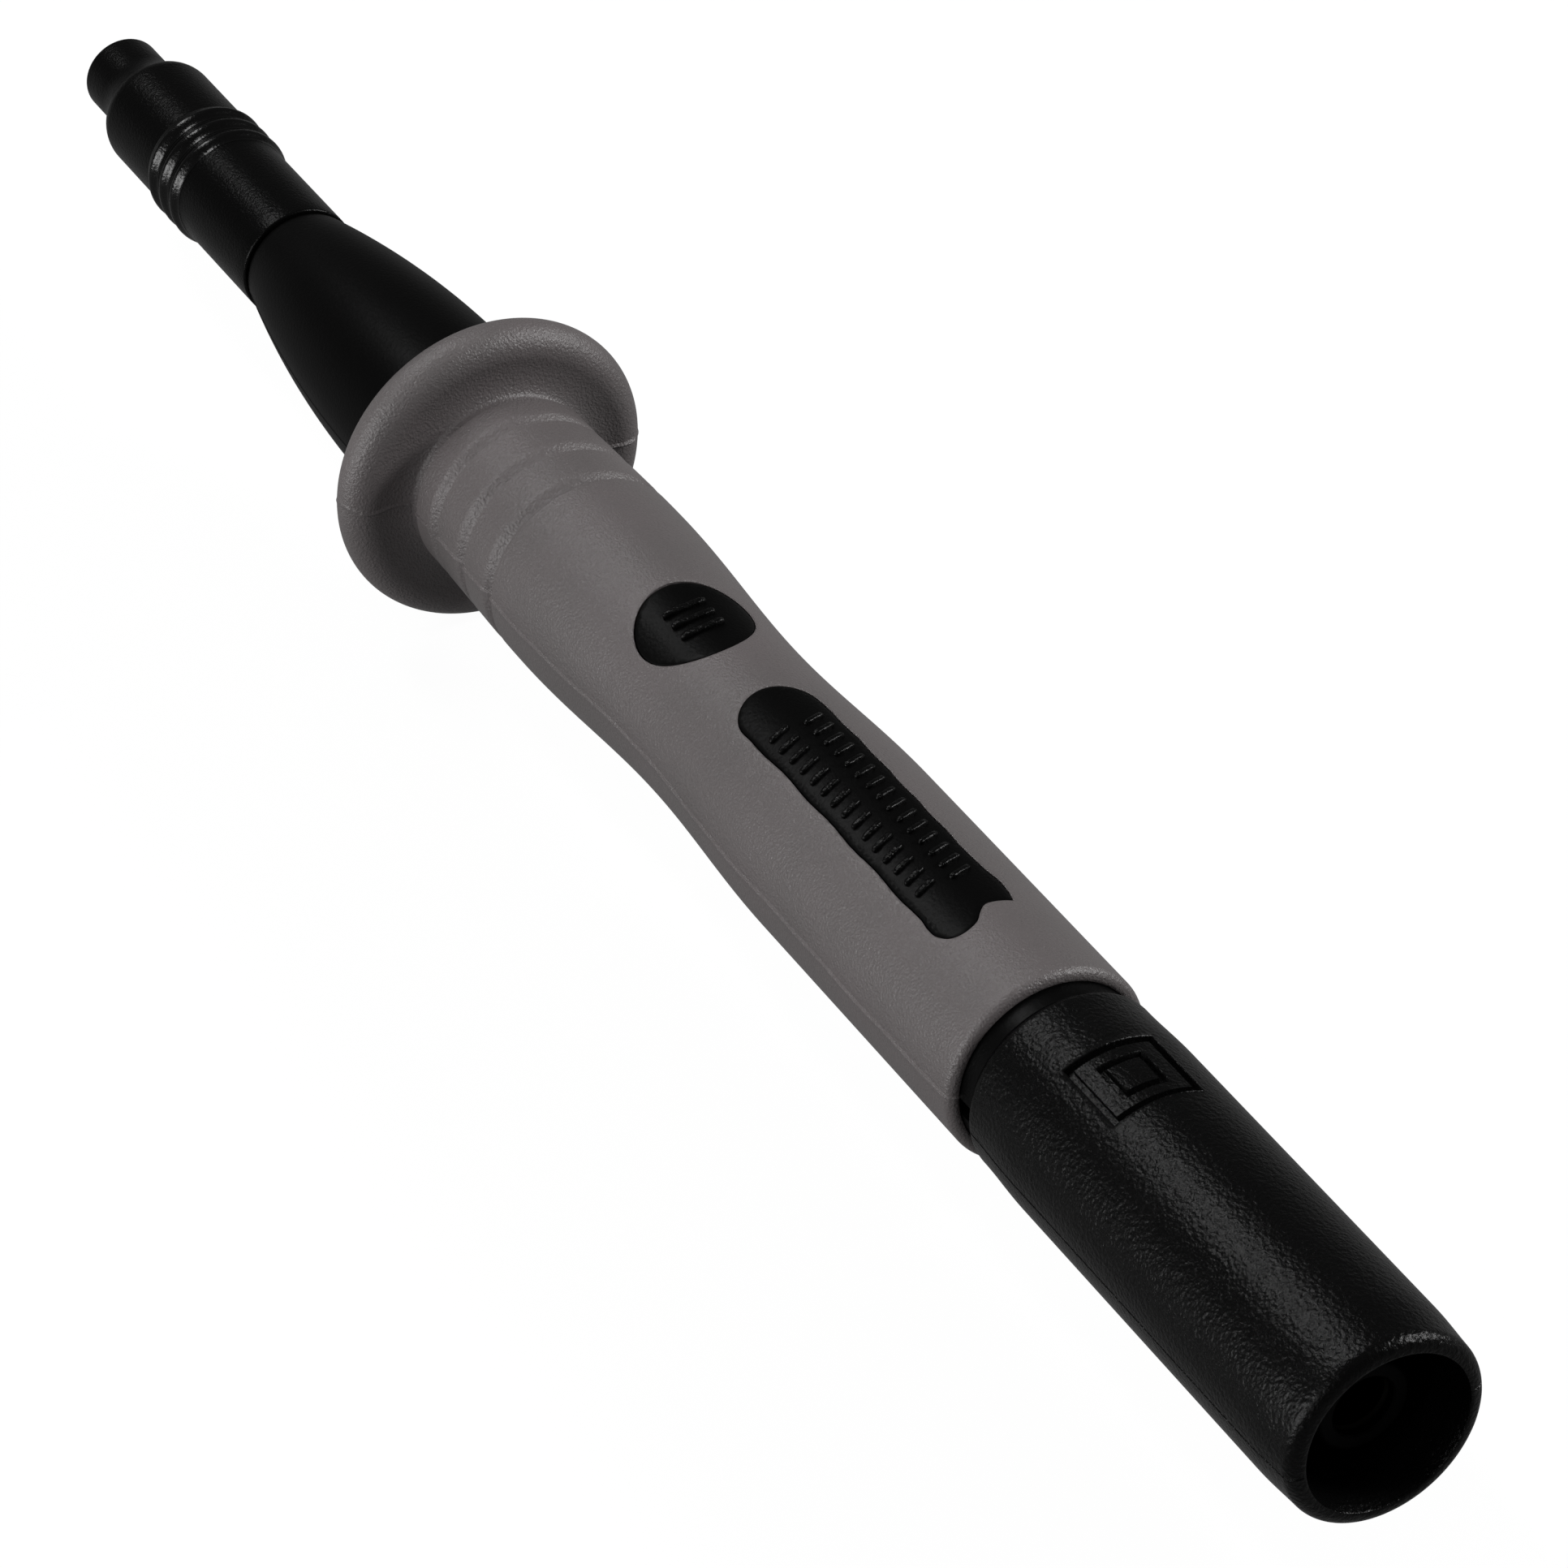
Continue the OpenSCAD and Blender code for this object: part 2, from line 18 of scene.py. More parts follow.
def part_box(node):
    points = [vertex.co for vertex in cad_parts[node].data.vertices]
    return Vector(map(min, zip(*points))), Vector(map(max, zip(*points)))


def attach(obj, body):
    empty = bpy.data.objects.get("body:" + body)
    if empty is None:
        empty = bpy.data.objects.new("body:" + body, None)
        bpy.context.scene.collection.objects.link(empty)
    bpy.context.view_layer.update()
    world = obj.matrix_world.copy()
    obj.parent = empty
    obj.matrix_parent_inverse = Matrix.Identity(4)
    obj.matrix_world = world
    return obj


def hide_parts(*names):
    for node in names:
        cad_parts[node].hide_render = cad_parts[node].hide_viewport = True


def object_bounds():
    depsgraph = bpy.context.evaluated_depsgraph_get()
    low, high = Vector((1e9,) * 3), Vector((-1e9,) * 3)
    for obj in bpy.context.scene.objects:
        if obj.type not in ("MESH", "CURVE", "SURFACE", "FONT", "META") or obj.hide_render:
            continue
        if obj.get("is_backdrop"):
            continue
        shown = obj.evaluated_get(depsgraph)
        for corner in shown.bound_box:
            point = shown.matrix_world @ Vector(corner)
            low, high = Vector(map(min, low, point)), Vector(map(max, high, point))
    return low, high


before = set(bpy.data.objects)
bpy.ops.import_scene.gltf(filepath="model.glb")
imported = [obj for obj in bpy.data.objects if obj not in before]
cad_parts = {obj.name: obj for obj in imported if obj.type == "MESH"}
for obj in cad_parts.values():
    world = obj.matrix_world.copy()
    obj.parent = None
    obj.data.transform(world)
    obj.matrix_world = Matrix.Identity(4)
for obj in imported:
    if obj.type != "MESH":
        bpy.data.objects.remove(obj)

MM = 0.001
GRID_MARGIN = 0.08  # least distance in mm from an island's loop to a point of the wall's own grid
SHARPEST = 0.9      # limits how far a moved outline's corner may stand out
SWALLOWED = 0.97    # share of the move below which a moved point has come too near the outline
WELD = 0.0005       # distance in mm at which the lathe joins points
ROW_NUDGE = 0.5 / 4096  # lets a whole row number survive rounding before it is cut to one
RAY_START = 0.002   # height in metres above a rib's point from which it drops to the surface
TINY = 1e-9         # keeps a division from ending in nothing
FLATTEST = 1e-4     # height in mm under which a face along a patch's border is no real face
IMAGE_SIDE = 1932
STARTUP_OBJECTS = ("Cube", "Light", "Camera")
Point = tuple[float, float]
Triple = tuple[float, float, float]

log = logging.getLogger("probe")


class Body(Enum):
    """The bodies that a piece can ride on."""

    HANDLE = "handle"
    CAP = "cap"


class Side(Enum):
    """Which side of a turned wall an outline is let into."""

    OUTER = 1
    INNER = -1


# ---------------------------------------------------------------- node graphs


class Value:
    """A number carried by a socket, with the operators that shader maths uses."""

    def __init__(self, graph: "Graph", socket: bpy.types.NodeSocket) -> None:
        """Wraps a socket.

        Args:
            graph: The graph that the socket belongs to.
            socket: An output socket that carries a number.
        """
        self.graph = graph
        self.socket = socket

    def _with(self, operation: str, first: "Operand", second: "Operand" = 0.0) -> "Value":
        """Adds a Math node.

        Args:
            operation: The node's operation.
            first: Its first input.
            second: Its second input.

        Returns:
            The result as a new value.
        """
        return self.graph.value("ShaderNodeMath", {"operation": operation}, {0: first, 1: second})

    def __add__(self, other: "Operand") -> "Value":
        """Sum."""
        return self._with("ADD", self, other)

    def __sub__(self, other: "Operand") -> "Value":
        """Difference."""
        return self._with("SUBTRACT", self, other)

    def __rsub__(self, other: "Operand") -> "Value":
        """Difference, with the number first."""
        return self._with("SUBTRACT", other, self)

    def __mul__(self, other: "Operand") -> "Value":
        """Product."""
        return self._with("MULTIPLY", self, other)

    def __truediv__(self, other: "Operand") -> "Value":
        """Quotient."""
        return self._with("DIVIDE", self, other)

    def call(self, operation: str, other: "Operand" = 0.0) -> "Value":
        """Applies a named Math operation, such as SINE or MODULO.

        Args:
            operation: The node's operation.
            other: Its second input, where it has one.

        Returns:
            The result as a new value.
        """
        return self._with(operation, self, other)

    __radd__ = __add__
    __rmul__ = __mul__


Operand = Value | bpy.types.NodeSocket | float


class Graph:
    """A node tree that is filled from Python."""

    def __init__(self, tree: bpy.types.NodeTree) -> None:
        """Wraps a node tree.

        Args:
            tree: The shader or geometry tree to fill.
        """
        self.tree = tree

    def node(self, kind: str, settings: dict | None = None, sockets: dict | None = None) -> bpy.types.Node:
        """Makes any node.

        Args:
            kind: The node's type.
            settings: Its properties, which are set first.
            sockets: Values or links for its inputs, by name or by index.

        Returns:
            The new node.
        """
        new = self.tree.nodes.new(kind)
        for key, setting in (settings or {}).items():
            setattr(new, key, setting)
        for key, given in (sockets or {}).items():
            given = given.socket if isinstance(given, Value) else given
            if isinstance(given, bpy.types.NodeSocket):
                self.tree.links.new(given, new.inputs[key])
            else:
                new.inputs[key].default_value = given
        return new

    def value(self, kind: str, settings: dict | None = None, sockets: dict | None = None) -> Value:
        """Makes a node and wraps its first output.

        Args:
            kind: The node's type.
            settings: Its properties.
            sockets: Values or links for its inputs.

        Returns:
            That output as a value.
        """
        return Value(self, self.node(kind, settings, sockets).outputs[0])

    def mix(self, factor: Operand, first: Sequence[float] | bpy.types.NodeSocket,
            second: Sequence[float] | bpy.types.NodeSocket) -> bpy.types.NodeSocket:
        """Mixes two colours.

        Args:
            factor: Share of the second colour.
            first: A colour.
            second: Another colour.

        Returns:
            The socket of the mixed colour.
        """
        made = self.node("ShaderNodeMix", {"data_type": "RGBA"}, {0: factor, 6: first, 7: second})
        return made.outputs[2]


def shade(red: float, green: float, blue: float) -> tuple[float, float, float, float]:
    """Turns a screen colour into a scene colour.

    Args:
        red: Red from 0 to 255.
        green: Green from 0 to 255.
        blue: Blue from 0 to 255.

    Returns:
        The linear colour with an alpha of 1.
    """
    linear = [c / 12.92 if c <= 0.04045 else ((c + 0.055) / 1.055) ** 2.4
              for c in (red / 255, green / 255, blue / 255)]
    return (*linear, 1.0)


# ------------------------------------------------------------------- finishes


@dataclass(frozen=True)
class Moulded:
    """A moulded plastic or rubber with an eroded grain.

    The grain, the relief and the cloud's size are in millimetres. The cells are sized as a
    multiple of the grain, and mottle is how far the colour varies. Tint is the lighter colour,
    and the clouds have cloud_share of the colour's variation, the grain the rest.
    """

    name: str
    slot: str
    colour: Triple
    roughness: float
    specular: float
    grain: float
    relief: float
    mottle: float = 0.08
    gloss_spread: float = 0.08
    tint: Triple | None = None
    cloud_size: float = 9.0
    cloud_share: float = 0.7
    cell_share: float = 0.8
    cell_size: float = 1.7
    cell_blend: float = 0.6
    fine_share: float = 0.55

    def material(self) -> bpy.types.Material:
        """Builds the material.

        Returns:
            A material on Object coordinates.
        """
        made, graph, surface = start_material(self.name)
        place = object_place(graph)

        def noise(size: float, detail: float) -> Value:
            """Makes a noise.

            Args:
                size: Its size in millimetres.
                detail: Its levels of finer noise.

            Returns:
                The noise from 0 to 1.
            """
            return graph.value("ShaderNodeTexNoise", sockets={
                "Vector": place, "Scale": 1 / (size * MM), "Detail": detail,
                "Roughness": self.fine_share})

        cloud = noise(self.cloud_size, 2.0)
        fine = noise(self.grain, 3.0)
        cells = graph.value("ShaderNodeTexVoronoi", {"feature": "SMOOTH_F1"}, {
            "Vector": place, "Scale": 1 / (self.cell_size * self.grain * MM),
            "Smoothness": self.cell_blend})
        darker = shade(*(c * (1 - self.mottle) for c in self.colour))
        lighter = shade(*(min(c * (1 + self.mottle), 255) for c in (self.tint or self.colour)))
        tone = graph.mix(cloud * self.cloud_share + fine * (1 - self.cloud_share), darker, lighter)
        graph.tree.links.new(tone, surface.inputs["Base Color"])
        rough = cloud * self.gloss_spread + fine * self.gloss_spread + (self.roughness - self.gloss_spread)
        graph.tree.links.new(rough.socket, surface.inputs["Roughness"])
        height = fine + cells * self.cell_share
        bump = graph.node("ShaderNodeBump", sockets={
            "Strength": 1.0, "Distance": self.relief * MM, "Height": height})
        graph.tree.links.new(bump.outputs[0], surface.inputs["Normal"])
        surface.inputs["Specular IOR Level"].default_value = self.specular
        return made


@dataclass(frozen=True)
class Metal:
    """A turned metal with fine tool marks round the axis.

    The marks, the stains and the relief are in millimetres, and stretch is the marks' fineness
    round the axis against that along it. Tarnish is how much darker a stain is, and the stains
    have stain_share of the colour's variation, the marks the rest.
    """

    name: str
    slot: str
    colour: Triple
    roughness: float
    marks: float = 0.12
    mark_gloss: float = 0.12
    stretch: float = 0.03
    tarnish: float = 0.25
    stains: float = 2.5
    stain_share: float = 0.6
    stain_gloss: float = 0.1
    relief: float = 0.004
    relief_strength: float = 0.6

    def material(self) -> bpy.types.Material:
        """Builds the material.

        Returns:
            A material on Object coordinates.
        """
        made, graph, surface = start_material(self.name)
        place = object_place(graph)
        stretched = graph.node("ShaderNodeMapping", sockets={
            "Vector": place, "Scale": (1.0, self.stretch, self.stretch)}).outputs[0]
        marks = graph.value("ShaderNodeTexNoise", sockets={
            "Vector": stretched, "Scale": 1 / (self.marks * MM), "Detail": 4.0})
        stain = graph.value("ShaderNodeTexNoise", sockets={
            "Vector": place, "Scale": 1 / (self.stains * MM), "Detail": 3.0})
        dark = shade(*(c * (1 - self.tarnish) for c in self.colour))
        tone = graph.mix(stain * self.stain_share + marks * (1 - self.stain_share), dark,
                         shade(*self.colour))
        graph.tree.links.new(tone, surface.inputs["Base Color"])
        rough = marks * self.mark_gloss + stain * self.stain_gloss + (self.roughness - self.stain_gloss)
        graph.tree.links.new(rough.socket, surface.inputs["Roughness"])
        bump = graph.node("ShaderNodeBump", sockets={
            "Strength": self.relief_strength, "Distance": self.relief * MM, "Height": marks})
        graph.tree.links.new(bump.outputs[0], surface.inputs["Normal"])
        surface.inputs["Metallic"].default_value = 1.0
        return made


def object_place(graph: Graph) -> bpy.types.NodeSocket:
    """Object coordinates, in metres."""
    return graph.node("ShaderNodeTexCoord").outputs["Object"]


def start_material(name: str) -> tuple[bpy.types.Material, Graph, bpy.types.Node]:
    """Makes an empty material.

    Args:
        name: The material's name.

    Returns:
        The material, its graph and its Principled shader.
    """
    made = bpy.data.materials.new(name)
    graph = emptied(made)
    surface = graph.node("ShaderNodeBsdfPrincipled")
    graph.node("ShaderNodeOutputMaterial", sockets={"Surface": surface.outputs[0]})
    return made, graph, surface


def emptied(holder: bpy.types.Material | bpy.types.World) -> Graph:
    """Gives a holder's node tree, with nothing in it.

    Args:
        holder: A material or a world.

    Returns:
        The graph of its tree.
    """
    holder.use_nodes = True
    holder.node_tree.nodes.clear()
    return Graph(holder.node_tree)


class Palette:
    """Every finish of the probe, each made once."""

    HARD_BLACK = Moulded("hard_black_plastic", "hard_black", (4, 4, 4), tint=(7, 7, 7),
                         roughness=0.27, specular=0.13, grain=0.19, relief=0.052)
    CORE_BLACK = Moulded("core_black_plastic", "hard_black", (4, 4, 4), tint=(6, 6, 6),
                         roughness=0.4, specular=0.06, grain=0.16, relief=0.012)
    SOFT_GREY = Moulded("soft_grey_rubber", "soft_grey", (91, 89, 88), tint=(98, 91, 92),
                        roughness=0.36, specular=0.5, grain=0.12, relief=0.055, mottle=0.04)
    CAP_BLACK = Moulded("cap_black_plastic", "cap_black", (4, 4, 4), tint=(6, 6, 6),
                        roughness=0.28, specular=0.09, grain=0.13, relief=0.022)
    RING_BLACK = Moulded("ring_black_plastic", "cap_black", (4, 4, 4), tint=(6, 6, 6),
                         roughness=0.2, specular=0.27, grain=0.13, relief=0.014)
    # The post's own black, made darker still as painted shade for the inside of the socket's mouth; the
    # needle's insulation shares it.
    POST_BLACK_AND_SHADE = Moulded("post_black_and_shade_plastic", "post_black", (2, 2, 2),
                         roughness=0.5, specular=0.05, grain=0.3, relief=0.01)
    BUSH_WHITE = Moulded("bush_white_plastic", "bush_white", (214, 210, 198),
                         roughness=0.5, specular=0.4, grain=0.3, relief=0.01)
    SEAL_RUBBER = Moulded("seal_rubber", "seal_rubber", (30, 30, 30),
                          roughness=0.6, specular=0.3, grain=0.2, relief=0.01)
    # The contact's plated brass, its colour darkened near to black as painted shade for the inside of the
    # socket's mouth.
    SHADE_DARKENED_BRASS = Metal("plated_brass", "plated_brass", (32, 31, 28), roughness=0.5)
    BARE_BRASS = Metal("bare_brass", "bare_brass", (184, 146, 72), roughness=0.32)
    STEEL = Metal("needle_steel", "steel", (196, 198, 200), roughness=0.24, marks=0.06, tarnish=0.15)
    SPRING_STEEL = Metal("washer_steel", "spring_steel", (150, 150, 152), roughness=0.34)

    def __init__(self) -> None:
        """Starts with nothing made."""
        self._made: dict[str, bpy.types.Material] = {}

    def material(self, finish: Moulded | Metal) -> bpy.types.Material:
        """Gives a finish's material.

        Args:
            finish: The finish.

        Returns:
            Its material, made on first use.
        """
        if finish.name not in self._made:
            self._made[finish.name] = finish.material()
        return self._made[finish.name]

    def dress(self, piece: bpy.types.Object, finish: Moulded | Metal) -> None:
        """Gives a piece one finish.

        Args:
            piece: A piece or a CAD node.
            finish: The finish.
        """
        if not piece.material_slots:
            piece.data.materials.append(self.material(finish))
        for held in piece.material_slots:
            held.material = self.material(finish)


# ------------------------------------------------------------------- outlines


def arc(x: float, r: float, radius: float, start: float, end: float, steps: int = 10) -> list[Point]:
    """Points on an arc in the (x, radius) plane.

    Args:
        x: The arc's middle along the axis.
        r: Its distance from the axis.
        radius: Its radius.
        start: First angle in degrees, 0 outwards and 90 forwards.
        end: Last angle.
        steps: Number of steps.

    Returns:
        The points, first and last among them.
    """
    turns = [math.radians(start + (end - start) * i / steps) for i in range(steps + 1)]
    return [(x + radius * math.sin(a), r + radius * math.cos(a)) for a in turns]


def run(x0: float, r0: float, x1: float, r1: float, step: float = 0.5) -> list[Point]:
    """Points on a straight line, without its first.

    Args:
        x0: Start along the axis.
        r0: Radius at the start.
        x1: End along the axis.
        r1: Radius at the end.
        step: Greatest distance between points.

    Returns:
        The points, last among them.
    """
    steps = max(1, math.ceil(math.hypot(x1 - x0, r1 - r0) / step))
    return [(x0 + (x1 - x0) * i / steps, r0 + (r1 - r0) * i / steps) for i in range(1, steps + 1)]


def swept(before: Point, start: Point, end: Point, after: Point, steps: int) -> list[Point]:
    """Joins two curves without a kink.

    Args:
        before: The point before the first curve's last.
        start: The first curve's last point.
        end: The second curve's first point.
        after: The point that follows it.
        steps: Number of steps.

    Returns:
        The points between the two curves.
    """
    a, b, c, d = (np.array(p) for p in (before, start, end, after))
    gap = np.linalg.norm(c - b)
    leaves = (b - a) / np.linalg.norm(b - a) * gap
    enters = (d - c) / np.linalg.norm(d - c) * gap
    return [tuple(b * (2 * t ** 3 - 3 * t ** 2 + 1) + leaves * (t ** 3 - 2 * t ** 2 + t)
                  + c * (3 * t ** 2 - 2 * t ** 3) + enters * (t ** 3 - t ** 2))
            for t in np.linspace(0, 1, steps + 1)[1:-1]]


def ease(t: float) -> float:
    """An S-shaped rise from 0 to 1."""
    return (1 - math.cos(math.pi * min(max(t, 0.0), 1.0))) / 2


def spaced(start: float, end: float, step: float) -> list[float]:
    """Evenly spaced stations.

    Args:
        start: First station.
        end: Last station.
        step: Greatest distance between stations.

    Returns:
        The stations, first and last among them.
    """
    return list(np.linspace(start, end, max(2, math.ceil(abs(end - start) / step) + 1)))


# --------------------------------------------------------------- turned walls


@dataclass
class Island:
    """A closed outline let into a turned wall.

    The outline is in (x, distance round the surface), or in (x, y) where it is drawn from
    above, and runs against the clock as seen from outside. Each step is how far outside
    the outline a loop lies, and its level.
    """

    outline: np.ndarray
    steps: list[Point]
    cut: bool = False
    from_above: bool = False

    def loop(self, offset: float) -> np.ndarray:
        """Moves the outline outwards.

        Args:
            offset: The distance, below 0 for inwards.

        Returns:
            The moved points, without those that a corner swallows.
        """
        ahead = np.roll(self.outline, -1, axis=0) - self.outline
        length = np.linalg.norm(ahead, axis=1)
        side = np.stack([ahead[:, 1], -ahead[:, 0]], axis=1) / length[:, None]
        corner = side + np.roll(side, 1, axis=0)
        reach_out = 2 * offset / np.maximum((corner ** 2).sum(axis=1), SHARPEST)
        moved = self.outline + corner * reach_out[:, None]
        if not offset:
            return moved
        to_point = moved[:, None, :] - self.outline[None, :, :]
        share = np.clip((to_point * ahead).sum(axis=2) / length ** 2, 0, 1)
        near = np.linalg.norm(to_point - share[:, :, None] * ahead, axis=2).min(axis=1)
        return moved[near > abs(offset) * SWALLOWED]

    def laid(self, stations: np.ndarray, scale: float, side: Side) -> "Island":
        """Lays the outline out on a surface.

        Args:
            stations: The surface's (x, radius), in order of x.
            scale: Radius by which an angle becomes a distance.
            side: The side of the wall.

        Returns:
            The island with its outline in (x, distance round the surface).
        """
        if not self.from_above:
            return self
        top = self.steps[-1][1] if side is Side.OUTER else 0.0
        radius = np.interp(self.outline[:, 0], stations[:, 0], stations[:, 1]) + top
        round_it = np.arcsin(self.outline[:, 1] / radius) * scale
        return Island(np.stack([self.outline[:, 0], round_it], axis=1), self.steps, self.cut)

    def holds(self, points: np.ndarray, offset: float = 0.0) -> np.ndarray:
        """Tells which points lie inside.

        Args:
            points: Points to test.
            offset: How far outside the outline still counts.

        Returns:
            A mask of the points.
        """
        ring = self.loop(offset)
        after = np.roll(ring, -1, axis=0)
        x, y = points[:, 0, None], points[:, 1, None]
        crosses = (ring[:, 1] > y) != (after[:, 1] > y)
        rise = np.where(after[:, 1] == ring[:, 1], 1e-12, after[:, 1] - ring[:, 1])
        at = ring[:, 0] + (y - ring[:, 1]) / rise * (after[:, 0] - ring[:, 0])
        return (np.sum(crosses & (x < at), axis=1) % 2).astype(bool)


def divided(points: Sequence[Point], spacing: float) -> np.ndarray:
    """Spaces an outline's points evenly and keeps its corners.

    Args:
        points: The closed outline.
        spacing: Greatest distance between points.

    Returns:
        The new points.
    """
    made = []
    for (x0, y0), (x1, y1) in zip(points, [*points[1:], points[0]]):
        steps = max(1, round(math.hypot(x1 - x0, y1 - y0) / spacing))
        made += [(x0 + (x1 - x0) * i / steps, y0 + (y1 - y0) * i / steps) for i in range(steps)]
    return np.array(made)


@dataclass
class Patch:
    """A part of a turned wall that holds islands.

    The band is its first and last station, and the spread its first and last angle in degrees.
    """

    side: Side
    band: Point
    spread: Point
    islands: list[Island]


@dataclass
class TurnedWall:
    """A closed outline in (x, radius) turned round the axis, with islands and raised lines.

    The outline runs forwards outside and back inside. The columns are angles in degrees. Lift
    gives how far points stand out of the outline, and warp gives their new angles.
    """

    outline: list[Point]
    columns: list[float]
    patches: list[Patch] = field(default_factory=list)
    lift: Callable[[np.ndarray, np.ndarray, np.ndarray], np.ndarray] | None = None
    warp: Callable[[np.ndarray, np.ndarray], np.ndarray] | None = None

    def __post_init__(self) -> None:
        """Works out the outline's normals."""
        rows = np.array(self.outline)
        before, after = np.roll(rows, 1, axis=0), np.roll(rows, -1, axis=0)
        first = rows - before
        second = after - rows
        first /= np.maximum(np.linalg.norm(first, axis=1), TINY)[:, None]
        second /= np.maximum(np.linalg.norm(second, axis=1), TINY)[:, None]
        along = first + second
        along /= np.maximum(np.linalg.norm(along, axis=1), TINY)[:, None]
        self.rows = rows
        self.normals = np.stack([-along[:, 1], along[:, 0]], axis=1)
        self.angles = np.radians(np.array(sorted(self.columns)))

    def place(self, row: np.ndarray, normal: np.ndarray, angle: np.ndarray, level: np.ndarray) -> np.ndarray:
        """Turns points of the outline into points in space.

        Args:
            row: Their (x, radius).
            normal: The outline's normals there.
            angle: Their angles round the axis in radians.
            level: How far each stands out of the surface.

        Returns:
            The points in metres.
        """
        if self.lift:
            level = level + self.lift(row[:, 0], row[:, 1], np.degrees(angle))
        if self.warp:
            angle = np.radians(self.warp(row[:, 0], np.degrees(angle)))
        x = row[:, 0] + normal[:, 0] * level
        r = np.maximum(row[:, 1] + normal[:, 1] * level, 0.0)
        return np.stack([x, r * np.sin(angle), r * np.cos(angle)], axis=1) * MM

    def piece(self, name: str, sharp: float = 38.0) -> bpy.types.Object:
        """Makes the piece.

        Args:
            name: Its name.
            sharp: Edges over this angle in degrees stay sharp.

        Returns:
            The new object.
        """
        count, turns = len(self.rows), len(self.angles)
        row_of, turn_of = (m.ravel() for m in np.meshgrid(np.arange(count), np.arange(turns), indexing="ij"))
        points = [self.place(self.rows[row_of], self.normals[row_of], self.angles[turn_of],
                             np.zeros(len(row_of)))]
        total = len(row_of)
        kept = np.ones((count, turns), bool)
        faces: list[list[int]] = []
        rims: dict[int, list[tuple[Side, np.ndarray]]] = {}
        for patch in self.patches:
            made, corners, rings = self.fill(patch, kept, total)
            points.append(made)
            total += len(made)
            faces += corners
            for place, ring in enumerate(rings):
                rims.setdefault(place, []).append((patch.side, ring))
        for row, turn in np.argwhere(kept):
            below, beside = (row + 1) % count, (turn + 1) % turns
            faces.append([row * turns + turn, below * turns + turn, below * turns + beside,
                          row * turns + beside])
        for pair in rims.values():
            if len(pair) == 2:
                outer = next(ring for side, ring in pair if side is Side.OUTER)
                inner = next(ring for side, ring in pair if side is Side.INNER)
                for i in range(len(outer)):
                    j = (i + 1) % len(outer)
                    faces.append([outer[i], outer[j], inner[j], inner[i]])
        return mesh_piece(name, np.concatenate(points), faces, sharp)

    def fill(self, patch: Patch, kept: np.ndarray, first: int) -> tuple[np.ndarray, list, list[np.ndarray]]:
        """Meshes one patch.

        Args:
            patch: The patch.
            kept: Mask of the wall's own cells, in which the patch's cells are cleared.
            first: The number that its first new point gets.

        Returns:
            New points, faces, and the points of each cut island's edge.
        """
        ahead = np.roll(self.rows[:, 0], -1) - self.rows[:, 0]
        inside = (self.rows[:, 0] >= patch.band[0]) & (self.rows[:, 0] <= patch.band[1])
        rows = np.flatnonzero(inside & (ahead * patch.side.value > 0))
        low, high = np.radians(patch.spread[0]), np.radians(patch.spread[1])
        turns = np.flatnonzero((self.angles >= low) & (self.angles <= high))
        kept[rows[0]:rows[-1], turns[0]:turns[-1]] = False
        order = rows[np.argsort(self.rows[rows, 0])]
        stations, slopes = self.rows[order], self.normals[order]
        scale = float(stations[:, 1].mean())
        row_of, turn_of = (m.ravel() for m in np.meshgrid(rows, turns, indexing="ij"))
        grid = np.stack([self.rows[row_of, 0], self.angles[turn_of] * scale], axis=1)
        edge = np.isin(row_of, (rows[0], rows[-1])) | np.isin(turn_of, (turns[0], turns[-1]))
        free, level = np.ones(len(grid), bool), np.zeros(len(grid))
        flat = [island.laid(stations, scale, patch.side) for island in patch.islands]
        for island in flat:
            deep = island.holds(grid, island.steps[-1][0] - GRID_MARGIN)
            free &= ~(island.holds(grid, island.steps[0][0] + GRID_MARGIN) & ~deep)
            level[deep] = island.steps[-1][1]
            if island.cut:
                free &= ~deep
        used = np.flatnonzero(free | edge)
        plane, levels, constraints, rims = [grid[used]], [level[used]], [], []
        start = len(used)
        for island in flat:
            for place, (offset, height) in enumerate(island.steps):
                ring = island.loop(offset)
                numbers = np.arange(start, start + len(ring))
                constraints += list(zip(numbers.tolist(), np.roll(numbers, -1).tolist()))
                plane.append(ring)
                levels.append(np.full(len(ring), height))
                start += len(ring)
                if island.cut and place == len(island.steps) - 1:
                    rims.append(numbers)
        levels = np.concatenate(levels)
        verts, _, triangles, origins, _, _ = delaunay_2d_cdt(
            [Vector(p) for p in np.concatenate(plane)], constraints, [], 0, 1e-7, True)
        points = np.array([tuple(v) for v in verts])
        source = np.array([o[0] if o else 0 for o in origins])
        heights = np.where([bool(o) for o in origins], levels[source], 0.0)
        on_edge = (source < len(used)) & edge[used[np.minimum(source, len(used) - 1)]]
        numbers = row_of[used[np.minimum(source, len(used) - 1)]] * len(self.angles)
        numbers = numbers + turn_of[used[np.minimum(source, len(used) - 1)]]
        fresh = np.flatnonzero(~on_edge)
        numbers[fresh] = first + np.arange(len(fresh))
        x = points[fresh, 0]
        row = np.stack([x, np.interp(x, stations[:, 0], stations[:, 1])], axis=1)
        normal = np.stack([np.interp(x, stations[:, 0], slopes[:, k]) for k in (0, 1)], axis=1)
        made = self.place(row, normal, points[fresh, 1] / scale, heights[fresh])
        corners = np.array(triangles)
        for island in flat:
            if island.cut:
                corners = corners[~island.holds(points[corners].mean(axis=1), island.steps[-1][0])]
        a, b, c = (points[corners[:, k]] for k in range(3))
        area = (b[:, 0] - a[:, 0]) * (c[:, 1] - a[:, 1]) - (c[:, 0] - a[:, 0]) * (b[:, 1] - a[:, 1])
        longest = np.max([np.linalg.norm(q - p, axis=1) for p, q in ((a, b), (b, c), (c, a))], axis=0)
